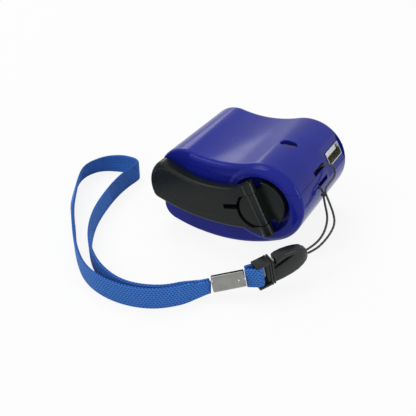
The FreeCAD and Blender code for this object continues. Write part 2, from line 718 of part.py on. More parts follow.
for place, y in enumerate(("-3.5", "-1", "1", "3.5"), start=1):
    low = (f"{PORT_IN} + port_sheet + 4", f"port_y + ({y}) - 0.5", "tongue_rise - 0.2")
    high = (f"{PORT_OUT} - tongue_sink - 0.6", f"port_y + ({y}) + 0.5", "tongue_rise")
    contacts.append(turned_block(f"contact_{place}", "port_tilt", low, high))
keep("usb_contacts", group("usb_contacts", *contacts))

# Circuit board and the pieces on it.

board_block = turned_block(
    "board_block",
    "port_tilt",
    ("board_inner", "board_front", UNDER_BOARD),
    ("board_outer", "board_back", f"-{HIGH}"),
)
board_holes = [
    rod(f"leg_hole_{place}", "leg_radius + 0.15", "hub_height - 6", "hub_height", spot, "Z")
    for place, spot in enumerate(leg_spots, start=1)
]
for place, (out, y) in enumerate(BOARD_POSTS, start=1):
    board_holes.append(
        turned_rod(
            f"board_hole_{place}", "port_tilt", "plate_screw + 0.1", "-6", "-2", out, y
        )
    )
keep("circuit_board", cut("circuit_board", board_block, *board_holes))
screws = []
for place, (out, y) in enumerate(BOARD_POSTS, start=1):
    head = turned_rod(
        f"board_head_{place}", "port_tilt", "plate_screw_head", f"-{HIGH}", f"-{HIGH} + 0.8", out, y
    )
    shank = turned_rod(
        f"board_shank_{place}",
        "port_tilt",
        "plate_screw",
        f"{UNDER_BOARD} - 4",
        f"-{HIGH} + 0.4",
        out,
        y,
    )
    screws.append(fuse(f"board_screw_{place}", head, shank))
keep("board_screws", group("board_screws", *screws))
keep("capacitor", lying_rod("capacitor", "port_tilt", "2.5", "0.4", "8.4", "3.2", f"2.5 - {HIGH}"))
keep(
    "rectifier",
    turned_block("rectifier", "port_tilt", ("6", "-4.5", f"-{HIGH}"), ("10", "-1.5", f"1.5 - {HIGH}")),
)
keep(
    "regulator_chip",
    turned_block("regulator_chip", "port_tilt", ("-3", "6", f"-{HIGH}"), ("1", "10", f"1.3 - {HIGH}")),
)
keep("inductor", turned_rod("inductor", "port_tilt", "2.2", f"-{HIGH}", f"3 - {HIGH}", "-1.2", "13.3"))

# Generator: can with its nose, end cap, magnets, rotor.

shaft_room = "motor_shaft + fit_gap"
can_solid = motor_slice("can_solid", "motor_radius", "motor_flat", PLATE_BACK, CAN_END)
can_hollow = motor_slice(
    "can_hollow",
    "motor_radius - can_wall",
    "motor_flat - can_wall",
    f"{PLATE_BACK} + can_wall",
    f"{CAN_END} + 1",
)
nose = rod("motor_nose", "3", PLATE, f"{PLATE_BACK} + can_wall", MOTOR)
nose_bore = rod("nose_bore", shaft_room, f"{PLATE} - 1", f"{PLATE_BACK} + 2", MOTOR)
keep("motor_can", cut("motor_can", fuse("can_nose", can_solid, nose), can_hollow, nose_bore))
cap_solid = motor_slice("cap_solid", "motor_radius", "motor_flat", CAN_END, MOTOR_END)
cap_bore = rod("cap_bore", shaft_room, f"{CAN_END} - 1", f"{MOTOR_END} - 0.6", MOTOR)
keep("motor_end_cap", cut("motor_end_cap", cap_solid, cap_bore))
MAGNET_OUT = "(motor_radius - can_wall - seat_gap)"
MAGNET_START = f"({PLATE_BACK} + 3)"
MAGNET_END = f"({PLATE_BACK} + 17)"
ring = cut(
    "magnet_ring",
    rod("magnet_out", MAGNET_OUT, MAGNET_START, MAGNET_END, MOTOR),
    rod(
        "magnet_in",
        f"{MAGNET_OUT} - magnet_thick",
        f"{MAGNET_START} - 1",
        f"{MAGNET_END} + 1",
        MOTOR,
    ),
)
magnets = []
for side, near, far in (("left", "-motor_radius", "0"), ("right", "0", "motor_radius")):
    low = (f"{MOTOR[0]} + {near}", f"{MAGNET_START} - 1", f"{MOTOR[1]} - 4.5")
    high = (f"{MOTOR[0]} + {far}", f"{MAGNET_END} + 1", f"{MOTOR[1]} + 4.5")
    magnets.append(common(f"{side}_magnet", ring, block(f"{side}_magnet_room", low, high)))
keep("motor_magnets", group("motor_magnets", *magnets))
core = rod("rotor_core", "rotor_radius", f"{MAGNET_START} + 1", f"{MAGNET_END} - 3", MOTOR)
slots = []
for place, angle in enumerate((90, 210, 330), start=1):
    slot = block(f"core_slot_{place}", ("-0.9", "-2", "3"), ("0.9", "15", "7.5"))
    slot.Placement.Rotation = FreeCAD.Rotation(FreeCAD.Vector(0, 1, 0), 10)
    tie(slot, **{"Placement.Rotation.Angle": str(angle)})
    lean = f"cos({angle})", f"sin({angle})"
    move(
        slot,
        f"{MOTOR[0]} - 0.9 * {lean[0]} + 3 * {lean[1]}",
        f"{MAGNET_START}",
        f"{MOTOR[1]} + 0.9 * {lean[1]} + 3 * {lean[0]}",
    )
    slots.append(slot)
core_slotted = cut("core_slotted", core, *slots)
winding = rod("winding", "5", f"{MAGNET_START} - 0.6", f"{MAGNET_END} - 1.4", MOTOR)
commutator = rod("commutator", "2.4", f"{MAGNET_END} - 2", f"{MAGNET_END} + 1.5", MOTOR)
spindle = rod("spindle", "motor_shaft", ROW_THREE, f"{MOTOR_END} - 0.8", MOTOR)
keep("rotor", fuse("rotor", core_slotted, winding, commutator, spindle))

# Gears.


def gear_face(name, teeth):
    """Outline of a gear in the XZ plane about the origin, one tooth on the X axis."""
    count = round(number(teeth))
    module = number("gear_module")
    pitch = module * count / 2
    pressure = math.radians(25)
    base = pitch * math.cos(pressure)
    tip = pitch + 0.9 * module
    root = pitch - 1.15 * module
    thick = math.pi * module / 2 - number("backlash") / 2
    half = thick / 2 / pitch + math.tan(pressure) - pressure

    def lean(radius):
        if radius <= base:
            return half
        angle = math.acos(base / radius)
        return half - (math.tan(angle) - angle)

    first = max(base, root)
    flank = [root] if base > root + 0.01 else []
    flank += [first, (2 * first + tip) / 3, (first + 2 * tip) / 3, tip]
    points = []
    for tooth in range(count):
        middle = 2 * math.pi * tooth / count
        points += [(radius, middle - lean(radius)) for radius in flank]
        points += [(radius, middle + lean(radius)) for radius in reversed(flank)]
    corners = [FreeCAD.Vector(r * math.cos(a), 0, r * math.sin(a)) for r, a in points]
    outline = doc.addObject("Part::Feature", name)
    outline.Shape = Part.Face(Part.makePolygon(corners + corners[:1]))
    return outline


def gear(name, teeth, axis, start, phase):
    """A gear along Y from its start, turned so that one tooth points along the phase angle."""
    thing = doc.addObject("Part::Extrusion", name)
    thing.Base = gear_face(f"{name}_outline", teeth)
    thing.Dir = FreeCAD.Vector(0, 1, 0)
    thing.Solid = True
    tie(thing, LengthFwd="gear_width")
    thing.Placement.Rotation = FreeCAD.Rotation(FreeCAD.Vector(0, 1, 0), 10)
    tie(thing, **{"Placement.Rotation.Angle": f"720 - ({phase})"})
    move(thing, axis[0], start, axis[1])
    return thing


AXLE_ROOM = "(axle_radius + fit_gap)"
drive = gear("drive_wheel", "drive_teeth", HUB, ROW_ONE, "first_turn")
drive_hub = rod("drive_hub", "4", ROW_ONE, f"{PLATE} - run_gap", HUB)
drive_bore = rod("drive_bore", "shaft_radius + seat_gap", FRONT, "0", HUB)
keep("drive_gear", cut("drive_gear", fuse("drive_solid", drive, drive_hub), drive_bore))


def compound(name, axis, first, second):
    """Two gears in neighbouring rows on one sleeve; each is teeth, row and phase."""
    wheels = [
        gear(f"{name}_{place}", teeth, axis, start, phase)
        for place, (teeth, start, phase) in enumerate((first, second), start=1)
    ]
    sleeve = rod(f"{name}_sleeve", "2.2", first[1], f"{PLATE} - run_gap", axis)
    bore = rod(f"{name}_bore", AXLE_ROOM, FRONT, "0", axis)
    return keep(name, cut(name, fuse(f"{name}_solid", *wheels, sleeve), bore))


compound(
    "compound_gear_a",
    FIRST,
    ("pinion_teeth", ROW_ONE, "first_turn + 180 + 180 / pinion_teeth"),
    ("first_teeth", ROW_TWO, "second_turn"),
)
compound(
    "compound_gear_b",
    SECOND,
    ("pinion_teeth", ROW_TWO, "second_turn + 180 + 180 / pinion_teeth"),
    ("second_teeth", ROW_THREE, "motor_turn"),
)
small = gear("motor_gear", "motor_teeth", MOTOR, ROW_THREE, "motor_turn + 180 + 180 / motor_teeth")
small_bore = rod("small_bore", "motor_shaft + seat_gap", FRONT, "0", MOTOR)
keep("motor_pinion", cut("motor_pinion", small, small_bore))
axles = [
    rod(f"axle_{place}", "axle_radius", f"{POCKET} - 0.8", PLATE_BACK, axis)
    for place, axis in enumerate((FIRST, SECOND), start=1)
]
keep("gear_axles", group("gear_axles", *axles))

# Gear plate with its screws, and the two bushings of the crank shaft.

plate_body = new_body("plate_form")
plate_sketch = case_section(plate_body, "plate_outline", "wall + plate_gap", PLATE)
pad(plate_body, "plate_pad", plate_sketch, "plate_thick")
plate_room = block(
    "plate_room",
    ("-60", f"{PLATE} - 1", "0"),
    ("hub_x + plate_right", f"{PLATE_BACK} + 1", "hub_height + plate_top"),
)
plate_cuts = [
    rod("plate_bush", f"{BORE} + bush_wall + seat_gap", f"{PLATE} - 1", "0", HUB),
    rod("plate_axle_one", "axle_radius + seat_gap", f"{PLATE} - 1", "0", FIRST),
    rod("plate_axle_two", "axle_radius + seat_gap", f"{PLATE} - 1", "0", SECOND),
    rod("plate_nose", "3 + seat_gap", f"{PLATE} - 1", "0", MOTOR),
]
plate_screws = []
for place, (x, z) in enumerate(PLATE_POSTS, start=1):
    spot = (f"hub_x + {x}", f"hub_height + {z}")
    plate_cuts.append(rod(f"plate_hole_{place}", "plate_screw + 0.1", f"{PLATE} - 1", "0", spot))
    head = rod(f"plate_head_{place}", "plate_screw_head", PLATE_BACK, f"{PLATE_BACK} + 1", spot)
    shank = rod(f"plate_shank_{place}", "plate_screw", f"{PLATE} - 4.5", f"{PLATE_BACK} + 0.5", spot)
    plate_screws.append(fuse(f"plate_screw_{place}", head, shank))
keep("gear_plate", cut("gear_plate", common("plate_blank", plate_body, plate_room), *plate_cuts))
keep("plate_screws", group("plate_screws", *plate_screws))
for name, start, long in (
    ("front_bushing", POCKET, "floor_wall"),
    ("rear_bushing", PLATE, "plate_thick"),
):
    sleeve = rod(f"{name}_outer", f"{BORE} + bush_wall", start, f"{start} + {long}", HUB)
    bore = rod(f"{name}_bore", BORE, f"{start} - 1", f"{start} + {long} + 1", HUB)
    keep(name, cut(name, sleeve, bore))

# Screws that join the shells, from below.

case_screws = []
for place, spot in enumerate(CASE_SCREWS, start=1):
    head = rod(f"case_head_{place}", "screw_head", f"{SHELF} - screw_head_thick", SHELF, spot, "Z")
    shank = rod(f"case_shank_{place}", "screw_radius", f"{SHELF} - 0.5", f"{SHELF} + screw_long", spot, "Z")
    low = (f"{spot[0]} - 1.4", f"{spot[1]} - 0.2", f"{SHELF} - screw_head_thick - 1")
    high = (f"{spot[0]} + 1.4", f"{spot[1]} + 0.2", f"{SHELF} - screw_head_thick + 0.6")
    across = block(f"cross_{place}_a", low, high)
    low = (f"{spot[0]} - 0.2", f"{spot[1]} - 1.4", f"{SHELF} - screw_head_thick - 1")
    high = (f"{spot[0]} + 0.2", f"{spot[1]} + 1.4", f"{SHELF} - screw_head_thick + 0.6")
    along = block(f"cross_{place}_b", low, high)
    screw = fuse(f"case_screw_{place}_solid", head, shank)
    case_screws.append(cut(f"case_screw_{place}", screw, across, along))
keep("case_screws", group("case_screws", *case_screws))

# Crank: shaft, disc with the hinge barrel, retaining ring.

SOCKET = f"({DISC_FACE} + 0.9)"
shaft_end = f"({PLATE_BACK} + run_gap + 1)"
keep("crank_shaft", rod("crank_shaft", "shaft_radius", SOCKET, shaft_end, HUB))
ring_start = f"({PLATE_BACK} + run_gap / 2)"
ring_solid = rod("ring_solid", "shaft_radius + 1.7", ring_start, f"{ring_start} + 0.6", HUB)
ring_bore = rod("ring_bore", "shaft_radius + seat_gap", FRONT, "0", HUB)
keep("retaining_ring", cut("retaining_ring", ring_solid, ring_bore))

HINGE_TURN = "(hinge_tilt - 90)"
KNUCKLE = "(barrel_half + knuckle_gap)"
KNUCKLE_END = f"({KNUCKLE} + knuckle_long)"
disc_body, disc_pad = rod_body("disc", "disc_radius", DISC_FACE, "disc_thick", *HUB)
round_edges(disc_body, "disc_round", disc_pad, "disc_edge", at_depth(DISC_FACE))
disc_boss = rod("disc_boss", "disc_boss", f"{DISC_BACK} - 1", f"{POCKET} - run_gap", HUB)
saddle = turned_block(
    "saddle",
    HINGE_TURN,
    ("-barrel_half", HINGE, "-barrel_radius * 0.9"),
    ("barrel_half", f"{DISC_FACE} + saddle_deep", "barrel_radius * 0.9"),
)
barrel = lying_rod("barrel", HINGE_TURN, "barrel_radius", "-barrel_half", "barrel_half", HINGE)
BLOCK_FRONT = f"({ARM_FRONT} + block_sink)"
raised_side = common(
    "raised_side",
    rod("raised_round", "arm_eye - eye_gap", BLOCK_FRONT, f"{DISC_FACE} + saddle_deep", HUB),
    turned_block(
        "raised_half",
        HINGE_TURN,
        ("-barrel_half", f"{ARM_FRONT} - 1", "-arm_eye"),
        ("barrel_half", f"{DISC_FACE} + saddle_deep", "0"),
    ),
)
notches = []
for side, near, far in (
    ("upper", "-disc_radius - 1", f"-{KNUCKLE}"),
    ("lower", KNUCKLE, "disc_radius + 1"),
):
    notches.append(
        turned_block(
            f"{side}_notch",
            HINGE_TURN,
            (near, f"{DISC_FACE} - 1", "-4"),
            (far, f"{DISC_BACK} + 0.01", "4"),
        )
    )
pin_room = lying_rod(
    "pin_room", HINGE_TURN, "hinge_pin_radius + fit_gap", "-20", "20", HINGE
)
disc_solid = fuse("disc_solid", disc_body, disc_boss, saddle, barrel, raised_side)
shaft_socket = rod("shaft_socket", "shaft_radius + seat_gap", SOCKET, "0", HUB)
keep("crank_disc", cut("crank_disc", disc_solid, *notches, pin_room, shaft_socket))
pin = lying_rod(
    "hinge_pin",
    HINGE_TURN,
    "hinge_pin_radius",
    f"-{KNUCKLE_END} + 0.2",
    f"{KNUCKLE_END} - 0.2",
    HINGE,
)
keep("hinge_pin", pin)

# Arm, folded along the case: round far end, hollow upper edge, full lower edge, hinge side.


def arm_section(body):
    """Three arcs (far end, hollow top, full underside) and three straight runs along the hinge.

    Its origin is the crank axis. Each arc is set by its two ends and its radius.
    """
    reach = number(KNUCKLE_END)
    tilt = math.radians(number("hinge_tilt"))
    spots = [
        (-number("tip_top"), number("tip_top_rise")),
        (-number("tip_low"), -number("tip_low_drop")),
        (-number("arm_low_end"), -number("arm_low_drop")),
        (reach * math.sin(tilt), -reach * math.cos(tilt)),
        (-reach * math.sin(tilt), reach * math.cos(tilt)),
        (-number("arm_top_end"), number("arm_top_rise")),
    ]

    def between(first, second, radius):
        """The arc from one spot to another, counterclockwise."""
        (x_one, z_one), (x_two, z_two) = first, second
        half = math.hypot(x_two - x_one, z_two - z_one) / 2
        away = math.sqrt(radius**2 - half**2) / (2 * half)
        centre = (
            (x_one + x_two) / 2 - (z_two - z_one) * away,
            (z_one + z_two) / 2 + (x_two - x_one) * away,
        )
        return arc(*centre, radius, toward(centre, first), toward(centre, second))

    sketch = face_sketch(body, "arm_outline", "hub_x", ARM_FRONT, "hub_height")
    straight = [
        Part.LineSegment(FreeCAD.Vector(*start, 0), FreeCAD.Vector(*end, 0))
        for start, end in zip(spots[2:], spots[3:])
    ]
    sketch.addGeometry(
        [
            between(spots[0], spots[1], number("tip_radius")),
            between(spots[1], spots[2], number("arm_low_radius")),
            *straight,
            between(spots[0], spots[5], number("arm_top_radius")),
        ],
        False,
    )
    for joint in ((0, 2, 1, 1), (1, 2, 2, 1), (2, 2, 3, 1), (3, 2, 4, 1), (4, 2, 5, 2), (5, 1, 0, 1)):
        sketch.addConstraint(Sketcher.Constraint("Coincident", *joint))
    fix(sketch, "tip_radius", "Radius", 0)
    fix(sketch, "arm_low_radius", "Radius", 1)
    fix(sketch, "arm_top_radius", "Radius", 5)
    places = [
        ("-tip_top", "tip_top_rise", 0, 1),
        ("-tip_low", "-tip_low_drop", 0, 2),
        ("-arm_low_end", "-arm_low_drop", 2, 1),
        (f"{KNUCKLE_END} * sin(hinge_tilt)", f"-{KNUCKLE_END} * cos(hinge_tilt)", 3, 1),
        (f"-{KNUCKLE_END} * sin(hinge_tilt)", f"{KNUCKLE_END} * cos(hinge_tilt)", 4, 1),
        ("-arm_top_end", "arm_top_rise", 4, 2),
    ]
    for across, high, edge, end in places:
        fix(sketch, across, "DistanceX", -1, 1, edge, end)
        fix(sketch, high, "DistanceY", -1, 1, edge, end)
    return sketch


arm_body = new_body("arm_form")
arm_pad = pad(arm_body, "arm_pad", arm_section(arm_body), f"{TIP_BACK} - {ARM_FRONT}")


def tip_corner(edge):
    """The two edges through the arm at the corners of its far end."""
    box = edge.BoundBox
    return box.YLength > 1 and box.XMax < number("hub_x - thin_reach")


def arm_rim(edge):
    """Front edges of the arm's far end and its two long sides."""
    middle = edge.valueAt((edge.FirstParameter + edge.LastParameter) / 2)
    return at_depth(ARM_FRONT)(edge) and middle.x < number("hub_x - arm_top_end")


arm_tip = round_edges(arm_body, "arm_corners", arm_pad, "tip_corner", tip_corner)
round_edges(arm_body, "arm_rounds", arm_tip, "arm_round", arm_rim)
thin_room = cone("thin_room", "thin_slope", "thin_reach", ARM_BACK, f"{TIP_BACK} + 1", HUB)
eye_wide = turned_block(
    "eye_wide",
    HINGE_TURN,
    (f"-{KNUCKLE}", f"{ARM_FRONT} - 1", "-arm_eye - 1"),
    (KNUCKLE, f"{ARM_BACK} + 2", "arm_eye"),
)
eye_round = rod("eye_round", "arm_eye", f"{ARM_FRONT} - 2", f"{ARM_BACK} + 3", HUB)
arm_slot = turned_block(
    "arm_slot",
    "slot_tilt",
    ("-arm_eye - slot_long", f"{ARM_FRONT} - 1", "slot_rise - slot_width / 2"),
    ("-arm_eye + 1", f"{ARM_BACK} + 2", "slot_rise + slot_width / 2"),
)
KNOB_AXIS = ("hub_x - throw", "hub_height - knob_drop")
PIN_END = f"({ARM_FRONT} + tip_wall / 3)"
knob_recess = rod("knob_recess", "knob_radius + knob_room", KNOB_ROOM, "0", KNOB_AXIS)
arm_bare = cut(
    "arm_bare", arm_body, thin_room, common("arm_eye", eye_wide, eye_round), arm_slot, knob_recess
)
knuckles = [
    lying_rod("upper_knuckle", HINGE_TURN, "knuckle_radius", f"-{KNUCKLE_END}", f"-{KNUCKLE}", HINGE),
    lying_rod("lower_knuckle", HINGE_TURN, "knuckle_radius", KNUCKLE, KNUCKLE_END, HINGE),
]
pin_seat = lying_rod("pin_seat", HINGE_TURN, "hinge_pin_radius + seat_gap", "-20", "20", HINGE)
knob_seat = rod("knob_seat", "knob_pin_radius + seat_gap", PIN_END, "0", KNOB_AXIS)
keep(
    "crank_arm",
    cut("crank_arm", fuse("arm_solid", arm_bare, *knuckles), pin_seat, knob_seat),
)

# Grip and its pin.

knob_body, knob_pad = rod_body("grip", "knob_radius", KNOB_START, "knob_high", *KNOB_AXIS)
round_edges(knob_body, "grip_round", knob_pad, "knob_round", at_depth(KNOB_END))
HEAD_END = f"({KNOB_END} - 0.2)"
HEAD_START = f"({HEAD_END} - knob_head_thick)"
knob_bore = rod("knob_bore", "knob_pin_radius + fit_gap", FRONT, "0", KNOB_AXIS)
head_room = rod("head_room", "knob_pin_head + 0.2", f"{HEAD_START} - run_gap / 2", "0", KNOB_AXIS)
keep("knob", cut("knob", knob_body, knob_bore, head_room))
pin_shank = rod("pin_shank", "knob_pin_radius", PIN_END, f"{HEAD_START} + 0.2", KNOB_AXIS)
pin_head = rod("pin_head", "knob_pin_head", HEAD_START, HEAD_END, KNOB_AXIS)
keep("knob_pin", fuse("knob_pin", pin_shank, pin_head))

# Strap and string: routes as runs joined by tangent arcs.


def rounded(name, points):
    """Edges of a route: each corner takes the largest arc that its two runs allow."""
    spots = [FreeCAD.Vector(*point) for point in points]
    edges = []
    radii = []
    start = spots[0]
    for before, corner, after in zip(spots, spots[1:], spots[2:]):
        inward = (before - corner).normalize()
        outward = (after - corner).normalize()
        turn = math.pi - inward.getAngle(outward)
        reach = 0.45 * min(before.distanceToPoint(corner), corner.distanceToPoint(after))
        radius = reach / math.tan(turn / 2)
        centre = corner + (inward + outward).normalize() * (radius / math.cos(turn / 2))
        first = corner + inward * reach
        last = corner + outward * reach
        middle = centre + (corner - centre).normalize() * radius
        edges.append(Part.LineSegment(start, first).toShape())
        edges.append(Part.Arc(first, middle, last).toShape())
        radii.append(radius)
        start = last
    edges.append(Part.LineSegment(start, spots[-1]).toShape())
    long = sum(edge.Length for edge in edges)
    print(f"{name}: {long:.1f} mm, radii", " ".join(f"{radius:.1f}" for radius in radii))
    return edges


def beside(edge, shift):
    """A flat route's edge, moved sideways by shift."""
    up = FreeCAD.Vector(0, 0, 1)
    start, end = edge.FirstParameter, edge.LastParameter
    moved = [
        edge.valueAt(place) + edge.tangentAt(place).cross(up) * shift
        for place in (start, (start + end) / 2, end)
    ]
    if edge.Curve.TypeId == "Part::GeomLine":
        return Part.LineSegment(moved[0], moved[2]).toShape()
    return Part.Arc(*moved).toShape()


def ribbon(name, points, bottom):
    """A strap on edge along a flat route."""
    half = number("strap_thick / 2")
    edges = rounded(name, [(*point, number(bottom)) for point in points])
    near = [beside(edge, half) for edge in edges]
    far = [beside(edge, -half) for edge in edges]
    starts = [side[0].valueAt(side[0].FirstParameter) for side in (near, far)]
    stops = [side[-1].valueAt(side[-1].LastParameter) for side in (near, far)]
    ends = [Part.LineSegment(*pair).toShape() for pair in (starts, stops)]
    outline = doc.addObject("Part::Feature", f"{name}_outline")
    outline.Shape = Part.Face(Part.Wire(Part.sortEdges(near + far + ends)[0]))
    strip = doc.addObject("Part::Extrusion", name)
    strip.Base = outline
    strip.Dir = FreeCAD.Vector(0, 0, 1)
    strip.Solid = True
    tie(strip, LengthFwd="strap_width")
    doc.recompute()
    section = number("strap_width * strap_thick")
    share = strip.Shape.Volume / section / sum(edge.Length for edge in edges)
    print(f"{name}: volume over section times length {share:.4f}")
    return strip


def laid(thing, side, along, up):
    """Sets a piece in the buckle's frame, which is turned about Z."""
    thing.Placement.Rotation = FreeCAD.Rotation(FreeCAD.Vector(0, 0, 1), 10)
    turn = "(270 + buckle_heading)"
    tie(thing, **{"Placement.Rotation.Angle": turn})
    move(
        thing,
        f"buckle_x + ({side}) * cos({turn}) - ({along}) * sin({turn})",
        f"buckle_y + ({side}) * sin({turn}) + ({along}) * cos({turn})",
        up,
    )
    return thing


def lifted(thing):
    """Tilts a finished piece about the strap end of the ferrule, so that the string's end rises."""
    heading = math.radians(number("buckle_heading"))
    across = FreeCAD.Vector(math.sin(heading), -math.cos(heading), 0)
    turn = FreeCAD.Rotation(across, number("tail_tilt"))
    rise = FreeCAD.Placement(FreeCAD.Vector(0, 0, 0), turn, CRIMP_START)
    thing.Placement = rise.multiply(thing.Placement)
    return thing


def laid_block(name, low, high):
    """A box in the buckle's frame: corners as (side, along, up)."""
    thing = doc.addObject("Part::Box", name)
    sides = [f"({b}) - ({a})" for a, b in zip(low, high)]
    tie(thing, Length=sides[0], Width=sides[1], Height=sides[2])
    return laid(thing, *low)


CRIMP_START = FreeCAD.Vector(number("crimp_x"), number("crimp_y"), number("crimp_rise"))
CRIMP_END = FreeCAD.Vector(number("crimp_end_x"), number("crimp_end_y"), number("crimp_rise"))
HALF_THICK = "(buckle_thick / 2)"
INSIDE = "(strap_width + 0.2)"
RAIL = "((buckle_high - strap_width - 0.2) / 2)"
MIDDLE = "(buckle_high / 2)"
housing = doc.addObject("Part::Wedge", "housing")
tie(
    housing,
    Xmin=f"-{HALF_THICK} + 0.2",
    Xmax=f"{HALF_THICK} - 0.2",
    Ymin="0",
    Ymax="housing_long",
    Zmin="0",
    Zmax="buckle_high",
    X2min=f"-{HALF_THICK} + 0.8",
    X2max=f"{HALF_THICK} - 0.8",
    Z2min=f"{MIDDLE} - tip_high / 2",
    Z2max=f"{MIDDLE} + tip_high / 2",
)
laid(housing, "0", "flange_half", "0")
SPRING = "(buckle_high - arm_high)"
spring_slot = laid_block(
    "spring_slot",
    ("-buckle_thick", "0", f"{SPRING} - spring_gap"),
    ("buckle_thick", "housing_long * 0.6", SPRING),
)
spring_end = laid_block(
    "spring_end",
    ("-buckle_thick", "0", f"{SPRING} - spring_gap"),
    ("buckle_thick", "2", "buckle_high + 1"),
)
TONGUE_LOW = "(buckle_high / 2 - clip_tongue_high / 2 - 0.7)"
TONGUE_HIGH = f"({TONGUE_LOW} + clip_tongue_high)"
tongue_room = laid_block(
    "tongue_room",
    ("-clip_tongue_half - tongue_play", "0", f"{TONGUE_LOW} - tongue_play"),
    (
        "clip_tongue_half + tongue_play",
        "clip_tongue_long + 4 * tongue_play",
        f"{TONGUE_HIGH} + tongue_play",
    ),
)
keep("buckle_housing", lifted(cut("buckle_housing", housing, spring_slot, spring_end, tongue_room)))
frame_pieces = [
    laid_block(
        "flange",
        (f"-{HALF_THICK}", "-flange_half", "0"),
        (HALF_THICK, "flange_half", "buckle_high"),
    ),
    laid_block(
        "clip_tongue",
        ("-clip_tongue_half", "0", TONGUE_LOW),
        ("clip_tongue_half", "clip_tongue_long", TONGUE_HIGH),
    ),
]
for place, low, high in (("low", "0", RAIL), ("high", f"{RAIL} + {INSIDE}", "buckle_high")):
    corner = (f"-{HALF_THICK}", "-flange_half - frame_long", low)
    far = (HALF_THICK, "0", high)
    frame_pieces.append(laid_block(f"{place}_rail", corner, far))
bar = doc.addObject("Part::Cylinder", "strap_bar")
tie(bar, Radius="bar_radius", Height="buckle_high")
frame_pieces.append(laid(bar, "0", "-flange_half - frame_long + bar_radius + 0.3", "0"))
keep("buckle_clip", lifted(fuse("buckle_clip", *frame_pieces)))

crimp = doc.addObject("Part::Cylinder", "crimp")
tie(crimp, Radius="crimp_radius")
crimp.Height = CRIMP_START.distanceToPoint(CRIMP_END)
crimp.Placement.Base = CRIMP_START
crimp.Placement.Rotation = FreeCAD.Rotation(FreeCAD.Vector(0, 0, 1), CRIMP_END - CRIMP_START)
keep("crimp_ferrule", lifted(crimp))

STRAP_ROUTE = [
    (19.9, -58.2),
    (13.4, -67.4),
    (4.2, -75.4),
    (-9.5, -78.6),
    (-23.5, -76.0),
    (-35.5, -67.0),
    (-48.0, -53.7),
    (-59.6, -40.2),
    (-67.3, -29.0),
    (-73.3, -17.0),
    (-70.6, -6.6),
    (-62.6, -1.3),
    (-56.2, -0.3),
    (-52.9, -0.9),
    (-51.0, -2.6),
    (-51.0, -5.6),
    (-51.4, -10.8),
    (-50.9, -19.8),
    (-48.6, -31.0),
    (-44.6, -44.0),
    (-38.0, -55.8),
    (-29.6, -65.4),
    (-18.8, -72.6),
    (-6.0, -75.9),
    (6.4, -71.9),
    (13.8, -64.2),
    (18.8, -57.4),
]
keep("wrist_strap", ribbon("wrist_strap", STRAP_ROUTE, "0.1"))
FOLD_ROUTE = [
    (30.7, -50.4),
    (34.1, -49.4),
    (36.4, -48.2),
    (34.7, -45.3),
    (32.5, -46.7),
    (30.0, -49.2),
]
keep("strap_fold", lifted(ribbon("strap_fold", FOLD_ROUTE, RAIL + " + 0.1")))

STRING_ROUTE = [
    (45.4, -30.5, 13.3),
    (47.2, -27.4, 14.2),
    (48.2, -22.6, 15.6),
    (47.5, -17.0, 16.6),
    (46.0, -12.4, 17.9),
    (43.2, -9.2, 21.0),
    (40.9, -7.3, 26.6),
    (36.2, -6.6, 25.7),
    (34.6, -0.4, 29.5),
    (38.6, 1.0, 32.2),
    (41.2, 4.2, 30.6),
    (42.6, 2.0, 27.6),
    (42.2, -3.0, 26.8),
    (42.2, -8.6, 26.4),
    (44.5, -8.1, 21.6),
    (47.4, -9.8, 18.0),
    (49.7, -13.8, 16.5),
    (50.2, -19.4, 15.5),
    (49.6, -25.0, 14.6),
    (48.2, -28.8, 13.3),
    (46.0, -31.1, 12.2),
]
string_edges = rounded("string_loop", STRING_ROUTE)
string_path = Part.Wire(string_edges)
opening = Part.Circle(
    string_edges[0].valueAt(string_edges[0].FirstParameter),
    string_edges[0].tangentAt(string_edges[0].FirstParameter),
    number("string_radius"),
)
tube = doc.addObject("Part::Feature", "string_tube")
tube.Shape = string_path.makePipeShell([Part.Wire(opening.toShape())], True, False)
section = math.pi * number("string_radius") ** 2
share = tube.Shape.Volume / section / string_path.Length
print(f"string_loop: volume over section times length {share:.4f}")
KNOT_PLACE = FreeCAD.Vector(42.1, -8.3, 24.4)
knot = doc.addObject("Part::Sphere", "knot")
tie(knot, Radius="knot_radius")
knot.Placement.Base = KNOT_PLACE
keep("string_loop", fuse("string_loop", tube, knot))

# Every object and every piece is sound before anything is written.

doc.recompute()
for thing in doc.Objects:
    bad = [state for state in thing.State if state in ("Invalid", "Error")]
    if bad:
        raise RuntimeError(f"{thing.Name}: {bad}")
for name, thing in nodes.items():
    if thing.Shape.isNull() or not thing.Shape.isValid():
        raise RuntimeError(f"{name}: shape is not sound")
os.makedirs("parts", exist_ok=True)
for name, thing in nodes.items():
    box = thing.Shape.BoundBox
    print(
        f"{name}: {len(thing.Shape.Solids)} solid, {thing.Shape.Volume:.1f} mm3,",
        f"x {box.XMin:.2f} {box.XMax:.2f}, y {box.YMin:.2f} {box.YMax:.2f},",
        f"z {box.ZMin:.2f} {box.ZMax:.2f}",
    )
    thing.Shape.exportStep(f"parts/{name}.step")
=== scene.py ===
import math

import bmesh
import bpy
from mathutils import Matrix, Vector


